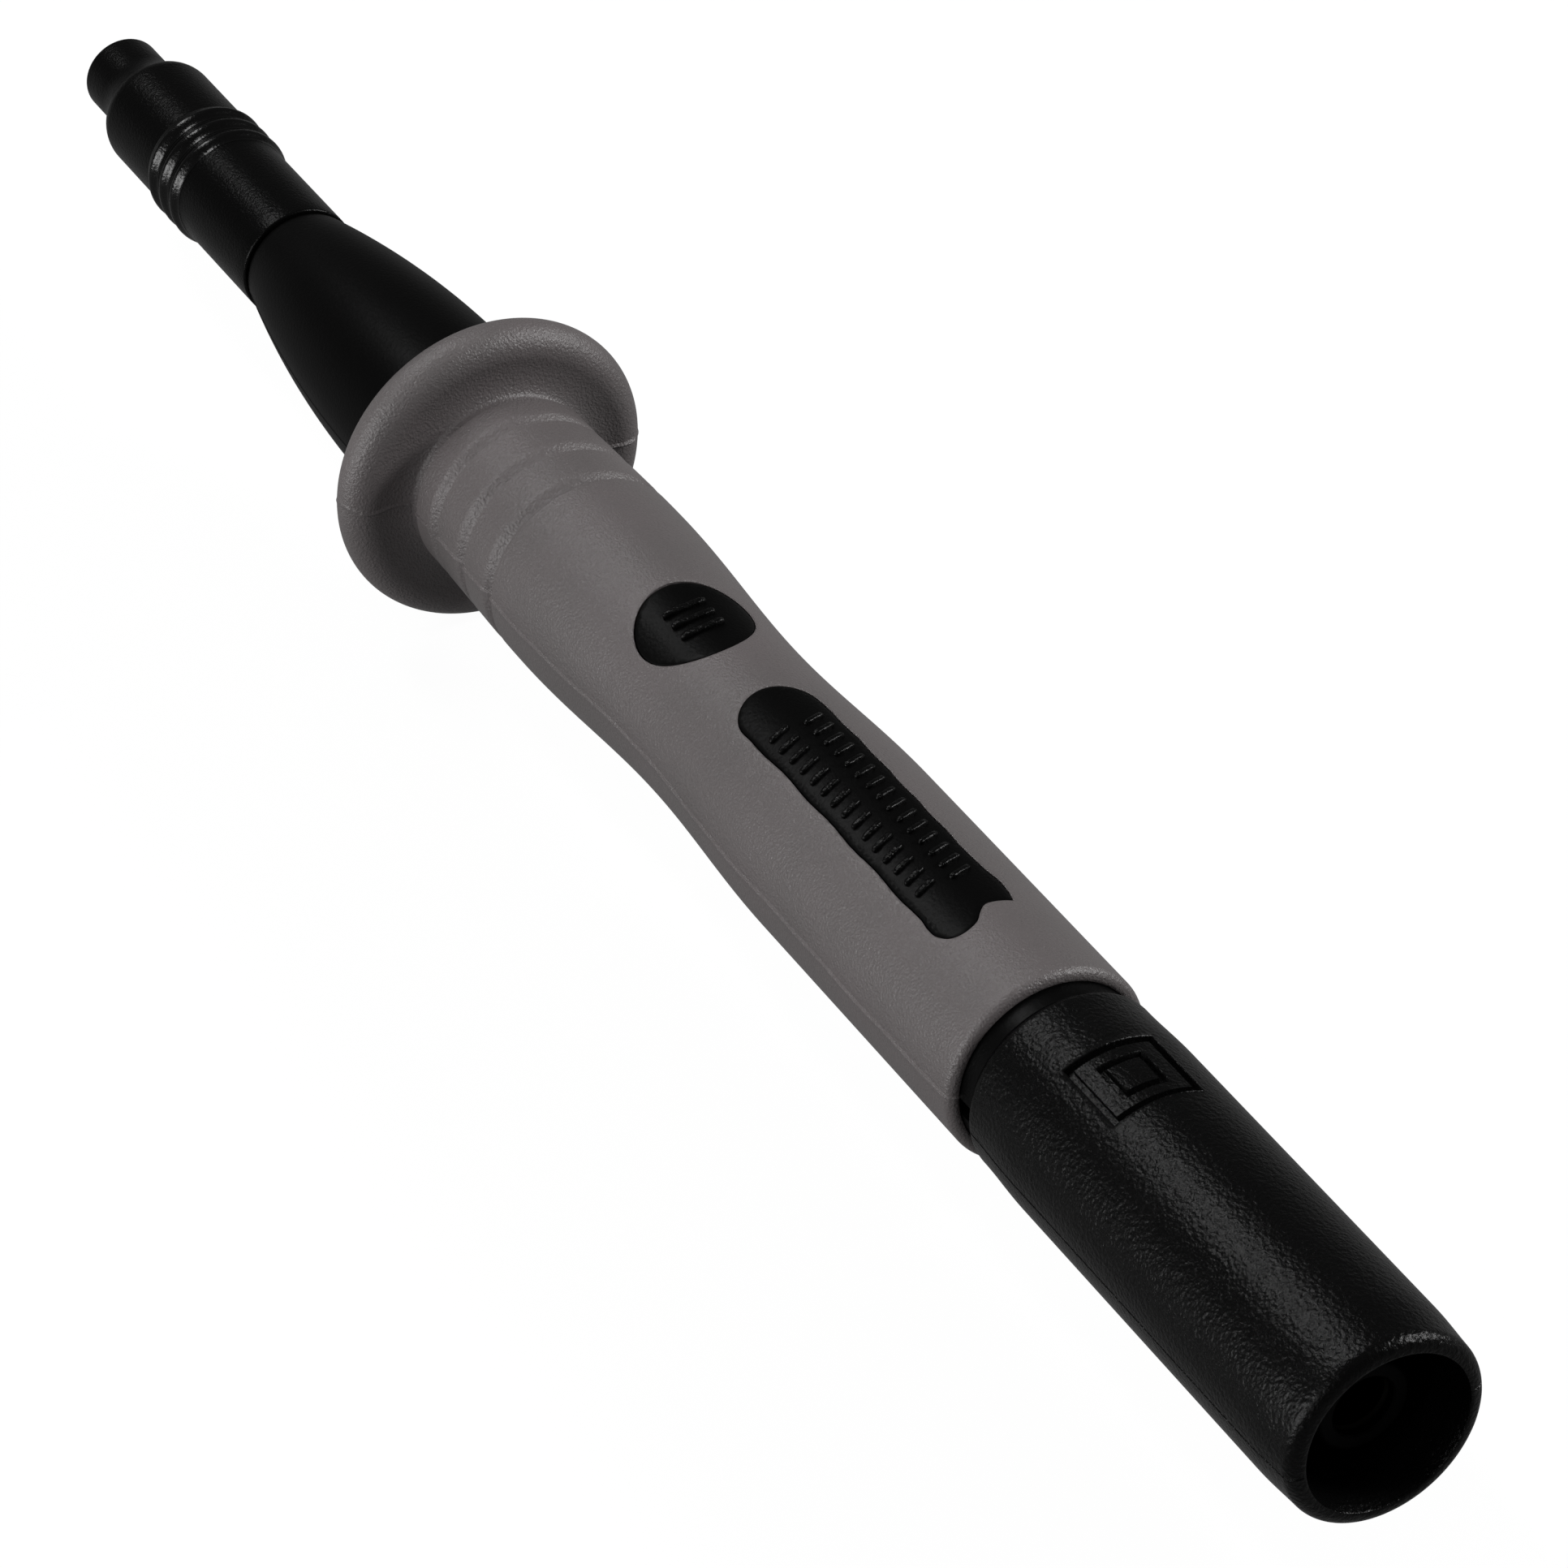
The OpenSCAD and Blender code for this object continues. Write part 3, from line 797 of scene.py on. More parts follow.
        real = ~(on_edge[corners].all(axis=1) & (np.abs(area) < FLATTEST * longest))
        corners, area = corners[real], area[real]
        wrong = area * patch.side.value < 0
        corners[wrong] = corners[wrong][:, ::-1]
        where = {given: i for i, o in enumerate(origins) for given in o}
        rims = [numbers[[where[k] for k in ring]] for ring in rims]
        return made, numbers[corners].tolist(), rims


def in_scene(name: str, data: bpy.types.ID) -> bpy.types.Object:
    """Puts an object in the scene.

    Args:
        name: Its name.
        data: Its mesh, lamp or camera.

    Returns:
        The object, at the origin.
    """
    made = bpy.data.objects.new(name, data)
    bpy.context.scene.collection.objects.link(made)
    return made


def mesh_piece(name: str, points: np.ndarray, faces: list[list[int]], sharp: float) -> bpy.types.Object:
    """Makes a smooth-shaded piece of the points that its faces use.

    Args:
        name: Its name.
        points: Points in metres.
        faces: Corners of each face.
        sharp: Edges over this angle in degrees stay sharp.

    Returns:
        The new object.
    """
    faces = [list(dict.fromkeys(f)) for f in faces]
    faces = [f for f in faces if len(f) > 2]
    used = np.unique(np.concatenate([np.array(f) for f in faces]))
    number = np.zeros(len(points), int)
    number[used] = np.arange(len(used))
    mesh = bpy.data.meshes.new(name)
    mesh.from_pydata(points[used].tolist(), [], [number[f].tolist() for f in faces])
    mesh.validate()
    mesh.shade_smooth()
    mesh.set_sharp_from_angle(angle=math.radians(sharp))
    return in_scene(name, mesh)


# ------------------------------------------------------------ geometry nodes


@dataclass
class Repeater:
    """A geometry tree with named inputs, applied to a base mesh and turned into a plain mesh."""

    name: str
    inputs: dict[str, tuple[str, object]]

    def start(self) -> tuple[Graph, bpy.types.Node, bpy.types.Node]:
        """Starts the tree.

        Returns:
            Its graph, its input node and its output node.
        """
        self.tree = bpy.data.node_groups.new(self.name, "GeometryNodeTree")
        self.tree.interface.new_socket("Geometry", in_out="OUTPUT", socket_type="NodeSocketGeometry")
        self.tree.interface.new_socket("Geometry", in_out="INPUT", socket_type="NodeSocketGeometry")
        for label, (kind, _) in self.inputs.items():
            self.tree.interface.new_socket(label, in_out="INPUT", socket_type=kind)
        graph = Graph(self.tree)
        return graph, graph.node("NodeGroupInput"), graph.node("NodeGroupOutput")

    def close(self, graph: Graph, shape: bpy.types.NodeSocket, given: bpy.types.Node,
              end: bpy.types.Node) -> None:
        """Ends the tree in real geometry with its material.

        Args:
            graph: The tree's graph.
            shape: The geometry made.
            given: The input node, which has a Material.
            end: The output node.
        """
        smooth = graph.node("GeometryNodeSetShadeSmooth", sockets={"Geometry": shape}).outputs[0]
        real = graph.node("GeometryNodeRealizeInstances", sockets={0: smooth}).outputs[0]
        dressed = graph.node("GeometryNodeSetMaterial", sockets={
            "Geometry": real, "Material": given.outputs["Material"]}).outputs[0]
        graph.tree.links.new(dressed, end.inputs[0])

    def apply(self, name: str, base: bpy.types.Mesh, **changes: object) -> bpy.types.Object:
        """Runs the tree on a base mesh.

        Args:
            name: The name of the new piece.
            base: The mesh that enters the tree.
            changes: Values of the inputs, with _ for a space.

        Returns:
            The piece, as a plain mesh.
        """
        piece = in_scene(name, base)
        modifier = piece.modifiers.new(self.name, "NODES")
        modifier.node_group = self.tree
        settings = {label: preset for label, (_, preset) in self.inputs.items()}
        settings.update({label.replace("_", " "): given for label, given in changes.items()})
        for item in self.tree.interface.items_tree:
            if item.in_out == "INPUT" and item.name in settings:
                modifier[item.identifier] = settings[item.name]
        bpy.context.view_layer.update()
        ready = piece.evaluated_get(bpy.context.evaluated_depsgraph_get())
        plain = bpy.data.meshes.new_from_object(ready)
        piece.modifiers.clear()
        piece.data = plain
        plain.name = name
        return piece


class Lathe(Repeater):
    """Turns outlines into round pieces, repeated along the axis where asked."""

    def __init__(self, segments: int = 192) -> None:
        """Builds the tree.

        Args:
            segments: Faces round a piece.
        """
        super().__init__("turned_round", {
            "Segments": ("NodeSocketInt", segments), "Copies": ("NodeSocketInt", 1),
            "Pitch": ("NodeSocketFloat", 0.0), "Material": ("NodeSocketMaterial", None)})
        graph, given, end = self.start()
        outline = given.outputs["Geometry"]
        count = graph.node("GeometryNodeAttributeDomainSize", sockets={"Geometry": outline}).outputs[0]
        around = Value(graph, given.outputs["Segments"]) + 1
        grid = graph.node("GeometryNodeMeshGrid", sockets={
            "Vertices X": count, "Vertices Y": around}).outputs[0]
        number = graph.value("GeometryNodeInputIndex")
        row = (number / around + ROW_NUDGE).call("FLOOR")
        angle = number.call("MODULO", around) * (2 * math.pi) / Value(graph, given.outputs["Segments"])
        position = graph.node("GeometryNodeInputPosition").outputs[0]
        there = graph.node("GeometryNodeSampleIndex", {"data_type": "FLOAT_VECTOR"}, {
            "Geometry": outline, "Value": position, "Index": row}).outputs[0]
        split = graph.node("ShaderNodeSeparateXYZ", sockets={0: there})
        radius = Value(graph, split.outputs[1])
        turned = graph.node("ShaderNodeCombineXYZ", sockets={
            "X": split.outputs[0], "Y": radius * angle.call("SINE"), "Z": radius * angle.call("COSINE")})
        wall = graph.node("GeometryNodeSetPosition", sockets={
            "Geometry": grid, "Position": turned.outputs[0]}).outputs[0]
        wall = graph.node("GeometryNodeMergeByDistance", sockets={
            "Geometry": wall, "Distance": WELD * MM}).outputs[0]
        step = graph.node("ShaderNodeCombineXYZ", sockets={"X": given.outputs["Pitch"]}).outputs[0]
        places = graph.node("GeometryNodeMeshLine", sockets={
            "Count": given.outputs["Copies"], "Offset": step}).outputs[0]
        copies = graph.node("GeometryNodeInstanceOnPoints", sockets={
            "Points": places, "Instance": wall}).outputs[0]
        self.close(graph, copies, given, end)

    def turn(self, name: str, outline: list[Point], material: bpy.types.Material, sharp: float = 35.0,
             **changes: object) -> bpy.types.Object:
        """Turns a closed outline.

        Args:
            name: The new piece's name.
            outline: Points (x, radius), forwards outside and back inside.
            material: Its material.
            sharp: Edges over this angle in degrees stay sharp.
            changes: Values of the tree's inputs.

        Returns:
            The piece.
        """
        points = [(x * MM, r * MM, 0.0) for x, r in [*outline, outline[0]]]
        base = bpy.data.meshes.new(name + "_outline")
        base.from_pydata(points, [(i, i + 1) for i in range(len(points) - 1)], [])
        piece = self.apply(name, base, Material=material, **changes)
        piece.data.set_sharp_from_angle(angle=math.radians(sharp))
        return piece


class RibRow(Repeater):
    """Sets rows of small rounded ribs on a surface that lies under them."""

    def __init__(self) -> None:
        """Builds the tree."""
        super().__init__("ribs_on_surface", {
            "Surface": ("NodeSocketObject", None), "Columns": ("NodeSocketInt", 12),
            "Rows": ("NodeSocketInt", 2), "Start": ("NodeSocketVector", (0.0, 0.0, 0.0)),
            "Column Pitch": ("NodeSocketFloat", 1.0), "Row Pitch": ("NodeSocketFloat", 1.0),
            "Rib Size": ("NodeSocketVector", (1.0, 1.0, 1.0)), "Slant": ("NodeSocketFloat", 0.0),
            "Seed": ("NodeSocketInt", 4), "Spread": ("NodeSocketFloat", 0.0),
            "Material": ("NodeSocketMaterial", None)})
        graph, given, end = self.start()
        put = {label: Value(graph, given.outputs[label]) for label in ("Columns", "Rows", "Column Pitch",
                                                                      "Row Pitch")}
        grid = graph.node("GeometryNodeMeshGrid", sockets={
            "Size X": (put["Columns"] - 1) * put["Column Pitch"],
            "Size Y": (put["Rows"] - 1) * put["Row Pitch"],
            "Vertices X": put["Columns"], "Vertices Y": put["Rows"]}).outputs[0]
        moved = graph.node("GeometryNodeSetPosition", sockets={
            "Geometry": grid, "Offset": given.outputs["Start"]}).outputs[0]
        surface = graph.node("GeometryNodeObjectInfo", sockets={"Object": given.outputs["Surface"]})
        above = graph.node("ShaderNodeVectorMath", {"operation": "ADD"}, {
            0: graph.node("GeometryNodeInputPosition").outputs[0], 1: (0.0, 0.0, RAY_START)}).outputs[0]
        hit = graph.node("GeometryNodeRaycast", sockets={
            "Target Geometry": surface.outputs["Geometry"], "Source Position": above,
            "Ray Direction": (0.0, 0.0, -1.0)})
        landed = graph.node("GeometryNodeSetPosition", sockets={
            "Geometry": moved, "Position": hit.outputs["Hit Position"]}).outputs[0]
        block = graph.node("GeometryNodeMeshCube", sockets={"Size": given.outputs["Rib Size"]}).outputs[0]
        rib = graph.node("GeometryNodeSubdivisionSurface", sockets={
            "Mesh": block, "Level": 2, "Edge Crease": 0.35}).outputs[0]
        upright = graph.node("FunctionNodeAxesToRotation", {"primary_axis": "Z", "secondary_axis": "X"}, {
            0: hit.outputs["Hit Normal"], 1: (1.0, 0.0, 0.0)}).outputs[0]
        lean = graph.node("ShaderNodeCombineXYZ", sockets={"Z": given.outputs["Slant"]}).outputs[0]
        turned = graph.node("FunctionNodeRotateRotation", {"rotation_space": "LOCAL"}, {
            "Rotation": upright, "Rotate By": lean}).outputs[0]
        spread = Value(graph, given.outputs["Spread"])
        varied = graph.node("FunctionNodeRandomValue", {"data_type": "FLOAT"}, {
            "Min": 1 - spread, "Max": 1 + spread, "Seed": given.outputs["Seed"]})
        share = next(o for o in varied.outputs if o.enabled and o.type == "VALUE")
        size = graph.node("ShaderNodeCombineXYZ", sockets={"X": share, "Y": share, "Z": 1.0}).outputs[0]
        ribs = graph.node("GeometryNodeInstanceOnPoints", sockets={
            "Points": landed, "Instance": rib, "Rotation": turned, "Scale": size}).outputs[0]
        self.close(graph, ribs, given, end)


# -------------------------------------------------------------- the handle


def reach(node: str) -> tuple[float, float, float]:
    """Reads a CAD node's extent from the frame.

    Args:
        node: The node's name.

    Returns:
        Its first and last station and its radius, in millimetres.
    """
    low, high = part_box(node)
    return low.x / MM, high.x / MM, high.y / MM


def bell(distance: np.ndarray, width: float) -> np.ndarray:
    """A smooth bump of height 1 that is 0 beyond a width."""
    return np.where(np.abs(distance) < width, (1 + np.cos(math.pi * distance / width)) / 2, 0.0)


@dataclass
class PartingLine:
    """The fine raised line that two mould halves leave along a wall."""

    angles: Point = (83.0, -97.0)
    width: float = 2.3
    height: float = 0.16

    def columns(self, turns: int) -> list[float]:
        """Even columns with close ones at the line.

        Args:
            turns: Number of even columns.

        Returns:
            Angles in degrees, from -180 up to 180.
        """
        even = [-180 + 360 * i / turns for i in range(turns)]
        close = [a + k * self.width / 4 for a in self.angles for k in range(-5, 6)]
        clear = [a for a in even if min(abs(a - c) for c in close) > self.width / 3]
        return clear + close

    def lift(self, angle: np.ndarray) -> np.ndarray:
        """Height of the line.

        Args:
            angle: Angles in degrees.

        Returns:
            How far the surface stands out there.
        """
        return self.height * sum(bell(angle - a, self.width / 2) for a in self.angles)


@dataclass
class Windows:
    """The two windows of the grip, through which the core's pads show, drawn from above."""

    middle_x: float
    round_d: float = 7.94
    long_front: float = 69.7
    long_rear: float = 42.7
    near_y: float = -2.76
    far_y: float = 2.9
    wave: float = 0.05
    far_waves: float = 1.1
    near_waves: float = 1.7
    spacing: float = 0.22
    rear_margin: float = 2.6
    front_margin: float = 5.0
    outer_spread: float = 42.0
    inner_spread: float = 52.0

    def round_outline(self) -> np.ndarray:
        """Draws the round window.

        Returns:
            Its outline in (x, y).
        """
        steps = round(math.pi * self.round_d / self.spacing)
        turn = np.linspace(0, 2 * math.pi, steps, endpoint=False)
        return np.stack([self.middle_x + np.cos(turn) * self.round_d / 2,
                         np.sin(turn) * self.round_d / 2], axis=1)

    def long_outline(self) -> np.ndarray:
        """Draws the long window: a round front end, wavy sides and a torn-looking rear end.

        Returns:
            Its outline in (x, y).
        """
        rear, radius = self.long_rear, (self.far_y - self.near_y) / 2
        centre = (self.far_y + self.near_y) / 2
        front = [(self.long_front - radius + radius * math.cos(a), centre + radius * math.sin(a))
                 for a in np.linspace(-math.pi / 2, math.pi / 2, 40)]
        far = [(x, self.far_y + self.wave * math.sin(x * self.far_waves))
               for x in spaced(front[-1][0] - 1, rear + 1.6, 1)]
        tail = smooth_path([(rear + 0.8, self.far_y + 0.04), (rear - 0.2, 2.88), (rear - 1.1, 2.36),
                            (rear - 1.4, 1.5), (rear - 1.1, 0.42), (rear - 0.4, -0.25), (rear + 0.1, -0.87),
                            (rear + 0.1, -1.72), (rear - 0.1, self.near_y + 0.02)], self.spacing)
        flare = smooth_path([(rear - 0.1, self.near_y + 0.02), (rear + 0.9, -3.0), (rear + 2.2, -3.1),
                             (rear + 3.6, -2.86)], self.spacing)
        near = [(x, self.near_y + self.wave * math.sin(x * self.near_waves))
                for x in spaced(rear + 4.4, front[0][0] - 1, 1)]
        return divided([*front, *far, *tail[:-1], *flare, *near], self.spacing)

    def outlines(self) -> list[np.ndarray]:
        """Both windows' outlines."""
        return [self.round_outline(), self.long_outline()]

    def patch(self, side: Side, islands: list[Island]) -> Patch:
        """The part of a wall that the windows lie in.

        Args:
            side: The side of the wall.
            islands: What is let into it.

        Returns:
            The patch.
        """
        band = (self.long_rear - self.rear_margin, self.middle_x + self.front_margin)
        half = self.outer_spread if side is Side.OUTER else self.inner_spread
        return Patch(side, band, (-half, half), islands)


def smooth_path(points: Sequence[Point], spacing: float) -> list[Point]:
    """A smooth curve through points.

    Args:
        points: The points.
        spacing: Distance between the curve's points.

    Returns:
        The curve's points, first and last among them.
    """
    given = np.array([points[0], *points, points[-1]])
    made = []
    for i in range(1, len(given) - 2):
        p0, p1, p2, p3 = given[i - 1:i + 3]
        steps = max(2, round(float(np.linalg.norm(p2 - p1)) / spacing))
        for t in np.linspace(0, 1, steps, endpoint=False):
            made.append(tuple(0.5 * (2 * p1 + (p2 - p0) * t + (2 * p0 - 5 * p1 + 4 * p2 - p3) * t ** 2
                                     + (3 * p1 - p0 - 3 * p2 + p3) * t ** 3)))
    return [*made, tuple(given[-1])]


@dataclass
class Shroud:
    """The black tube at the rear that guards the socket, with two nested squares in relief."""

    # steps of the two grooves: how far outside the square each loop lies, and its level
    OUTER_GROOVE = [(0.16, 0.0), (0.06, 0.04), (0.0, 0.0), (-0.06, -0.42), (-0.42, -0.42), (-0.5, -0.06)]
    INNER_GROOVE = [(0.04, -0.06), (-0.02, -0.12), (-0.08, -0.46), (-0.42, -0.46), (-0.52, -0.08)]

    palette: Palette
    well_d: float = 11.2
    well_depth: float = 22.0
    bulkhead: float = 2.4
    post_hole_r: float = 3.23
    spigot_bore_r: float = 5.3
    rim_round: float = 0.95
    rim_taper: float = 0.2
    rim_taper_len: float = 4.5
    crown_drop: float = 0.17
    crown_len: float = 5.0
    shoulder_round: float = 0.7
    square_len: float = 5.9
    square_width: float = 6.4
    island_size: float = 3.3
    square_from_rim: float = 28.25
    square_angle: float = -3.0
    relief_reach: float = 3.9
    relief_spread: Point = (-36, 30)
    edge: float = 0.15
    spacing: float = 0.18
    step: float = 0.34
    columns: int = 216
    line: PartingLine = field(default_factory=lambda: PartingLine((93.0, -87.0), width=1.5, height=-0.1))

    def radius(self, x: float) -> float:
        """Outer radius, which falls a little towards the rim and over the crown at the front end.

        Args:
            x: The station.

        Returns:
            The radius.
        """
        near_rim = 1 - ease((x - self.rim) / self.rim_taper_len)
        crowned = ease((x - (self.end - self.shoulder_round - self.crown_len)) / self.crown_len)
        return self.outer_r - self.rim_taper * near_rim - self.crown_drop * crowned

    def outline(self) -> list[Point]:
        """Draws the tube's section.

        Returns:
            Points (x, radius), forwards outside and back inside.
        """
        well_r, edge = self.well_d / 2, self.edge
        well_end = self.rim + self.well_depth
        wall_end = well_end + self.bulkhead
        start, stop = self.rim + self.rim_round, self.end - self.shoulder_round
        first, last = self.radius(start), self.radius(stop)
        return [
            (self.rim + edge, well_r), (self.rim + 0.04, well_r + 0.05), (self.rim, well_r + edge),
            *arc(start, first - self.rim_round, self.rim_round, -90, 0),
            *[(x, self.radius(x)) for x in spaced(start, stop, self.step)[1:-1]],
            *arc(stop, last - self.shoulder_round, self.shoulder_round, 0, 90),
            *run(self.end, last - self.shoulder_round, self.end, self.spigot_bore_r),
            *run(self.end, self.spigot_bore_r, wall_end, self.spigot_bore_r, 2.0),
            *run(wall_end, self.spigot_bore_r, wall_end, self.post_hole_r, 1.0),
            *run(wall_end, self.post_hole_r, well_end, self.post_hole_r, 1.0),
            *run(well_end, self.post_hole_r, well_end, well_r, 1.0),
            *run(well_end, well_r, self.rim + edge, well_r, 1.5)[:-1],
        ]

    def square(self, length: float, width: float) -> np.ndarray:
        """Draws a square of the relief.

        Args:
            length: Its length along the tube.
            width: Its width round the tube.

        Returns:
            Its outline in (x, distance round the surface).
        """
        x, s = self.rim + self.square_from_rim, math.radians(self.square_angle) * self.outer_r
        return divided([(x - length / 2, s - width / 2), (x + length / 2, s - width / 2),
                        (x + length / 2, s + width / 2), (x - length / 2, s + width / 2)], self.spacing)

    def build(self) -> None:
        """Builds and dresses the tube."""
        self.rim, self.end, self.outer_r = reach("rear_sleeve")
        middle = self.rim + self.square_from_rim
        band = (middle - self.relief_reach, middle + self.relief_reach)
        relief = Patch(Side.OUTER, band, self.relief_spread, [
            Island(self.square(self.square_len, self.square_width), self.OUTER_GROOVE),
            Island(self.square(self.island_size, self.island_size), self.INNER_GROOVE)])
        wall = TurnedWall(self.outline(), self.line.columns(self.columns), [relief], self.surface)
        place_piece(wall.piece("shroud_moulding"), Body.HANDLE, self.palette, Palette.HARD_BLACK,
                    ["rear_sleeve"])

    def surface(self, x: np.ndarray, r: np.ndarray, angle: np.ndarray) -> np.ndarray:
        """How far the parting line stands out."""
        return np.where(r > self.outer_r - 1, self.line.lift(angle), 0.0)


@dataclass
class Grip:
    """The soft grey grip with its finger guard and its two windows.

    The creases are a pitch apart, and the guard's root, with a last crease close behind it, comes
    root_early of a pitch before the next one would. The parting line wanders a little, and the
    wall goes with it within wander_reach degrees. It moves most on the guard's rear face: by
    guard_shift degrees at shift_behind from the guard's middle, and up to shift_reach from there.
    """

    # the rounded edge of a window: how far outside the window each loop lies, and its level
    WINDOW_EDGE = [(0.16, 0.0), (0.05, -0.02), (0.0, -0.07)]
    # the line's wandering: degrees, waves in radians per millimetre, and start in radians
    WANDER = [(0.5, 0.31, 0.0), (0.3, 0.83, 1.0)]

    palette: Palette
    wall: float = 1.1
    rear_d: float = 14.2
    lip_round: float = 0.6
    lip_wall: float = 0.85
    lip_edge: float = 0.14
    seat_end: float = 1.6
    ramp_end: float = 2.2
    rear_len: float = 25.0
    waist_d: float = 12.96
    waist_rear_len: float = 15.7
    waist_front_len: float = 17.0
    bulge_d: float = 14.4
    front_d: float = 13.8
    bulge_len: float = 2.9
    crease_pitch: float = 4.15
    crease_n: int = 3
    crease_depth: float = 0.42
    crease_fall: float = 0.24
    crease_rise: float = 1.1
    root_early: float = 0.15
    last_crease: float = 0.3
    rim_t: float = 3.5
    guard_from_root: float = 2.2
    root_round: float = 0.45
    collar: float = 0.6
    rim_band: float = 0.8
    rim_share: float = 0.32
    wander_reach: float = 26.0
    guard_shift: float = 3.0
    shift_behind: float = 0.6
    shift_reach: float = 2.4
    window_from_waist: float = 3.45
    step: float = 0.36
    crease_step: float = 0.14
    columns: int = 208
    line: PartingLine = field(default_factory=PartingLine)

    def __post_init__(self) -> None:
        """Works out the stations."""
        self.lip, self.end, self.guard_r = reach("grip_sleeve")
        self.waist_start = self.lip + self.rear_len
        self.waist = self.waist_start + self.waist_rear_len
        self.bulge = self.waist + self.waist_front_len
        self.crease = self.bulge + self.bulge_len
        self.root = self.crease + (self.crease_n - self.root_early) * self.crease_pitch
        self.guard = self.root + self.guard_from_root
        self.windows = Windows(self.waist + self.window_from_waist)

    def radius(self, x: float) -> float:
        """Outer radius behind the guard, without the creases.

        Args:
            x: The station.

        Returns:
            The radius.
        """
        rear, waist, bulge, front = (d / 2 for d in (self.rear_d, self.waist_d, self.bulge_d, self.front_d))
        if x < self.waist:
            return rear + (waist - rear) * ease((x - self.waist_start) / self.waist_rear_len)
        if x < self.bulge:
            return waist + (bulge - waist) * ease((x - self.waist) / self.waist_front_len)
        return bulge + (front - bulge) * ease((x - self.bulge) / (self.root - self.bulge))

    def creased(self, x: float) -> float:
        """Outer radius with the creases: each falls quickly and rises slowly towards the guard.

        Args:
            x: The station.

        Returns:
            The radius.
        """
        starts = [self.crease + i * self.crease_pitch for i in range(self.crease_n)]
        starts.append(self.root - self.last_crease)
        depth = sum(float(bell(np.array(x - at), self.crease_fall if x < at else self.crease_rise))
                    for at in starts)
        return self.radius(x) - self.crease_depth * depth

    def outline(self) -> list[Point]:
        """Draws the grip's section.

        Returns:
            Points (x, radius), forwards outside and back inside.
        """
        inner = self.rear_d / 2 - self.lip_wall
        rim_r = self.rim_t / 2
        rim_centre = self.guard_r - rim_r
        root_r, inner_front = self.front_d / 2, self.front_d / 2 - self.wall
        edge = self.lip_edge
        hollow = arc(self.root, self.creased(self.root) + self.root_round, self.root_round, 170, 112, 8)
        rim = arc(self.guard, rim_centre, rim_r, -104, 90, 36)
        stations = spaced(self.lip + self.lip_round, self.crease - 1, self.step)[1:]
        stations += spaced(self.crease - 1, hollow[0][0] - 0.1, self.crease_step)[1:]
        return [
            (self.lip + edge, inner), (self.lip + 0.04, inner + 0.04), (self.lip, inner + edge),
            *arc(self.lip + self.lip_round, self.rear_d / 2 - self.lip_round, self.lip_round, -90, 0),
            *[(x, self.creased(x)) for x in stations],
            *hollow, *swept(hollow[-2], hollow[-1], rim[0], rim[1], 10), *rim,
            *run(self.guard + rim_r, rim_centre, self.guard + rim_r, root_r + self.collar, 0.5)[:-1],
            *arc(self.end, root_r + self.collar, self.collar, -90, -180, 6),
            *run(self.end, root_r, self.end, inner_front, 0.6),
            *run(self.end, inner_front, self.crease, inner_front, 2.0),
            *[(x, self.radius(x) - self.wall) for x in spaced(self.bulge, self.lip + self.ramp_end, 1.0)],
            (self.lip + self.seat_end, inner),
        ]

    def drift(self, x: np.ndarray, angle: np.ndarray) -> np.ndarray:
        """Lets the parting line wander a little, most on the guard's rear face.

        Args:
            x: Stations of points of the wall.
            angle: Their angles in degrees.

        Returns:
            Their new angles in degrees.
        """
        away = np.abs(angle - self.line.angles[0])
        wander = sum(turn * np.sin(x * waves + start) for turn, waves, start in self.WANDER)
        on_guard = bell(x - (self.guard - self.shift_behind), self.shift_reach)
        return angle + (wander - self.guard_shift * on_guard) * bell(away, self.wander_reach)

    def surface(self, x: np.ndarray, r: np.ndarray, angle: np.ndarray) -> np.ndarray:
        """How far the parting line stands out of the grip: least round the guard's rim.

        Args:
            x: Stations of points of the wall; not used.
            r: Their radii.
            angle: Their angles in degrees.

        Returns:
            Their levels.
        """
        share = np.where(r > self.guard_r - self.rim_band, self.rim_share, 1.0)
        return np.where(r > self.front_d / 2 - 0.6, self.line.lift(angle) * share, 0.0)

    def build(self) -> None:
        """Builds and dresses the grip."""
        patches = []
        for side, steps in ((Side.OUTER, self.WINDOW_EDGE), (Side.INNER, [(0.0, 0.0)])):
            islands = [Island(o, steps, cut=True, from_above=True) for o in self.windows.outlines()]
            patches.append(self.windows.patch(side, islands))
        wall = TurnedWall(self.outline(), self.line.columns(self.columns), patches, self.surface, self.drift)
        place_piece(wall.piece("grip_moulding"), Body.HANDLE, self.palette, Palette.SOFT_GREY,
                    ["grip_sleeve"])


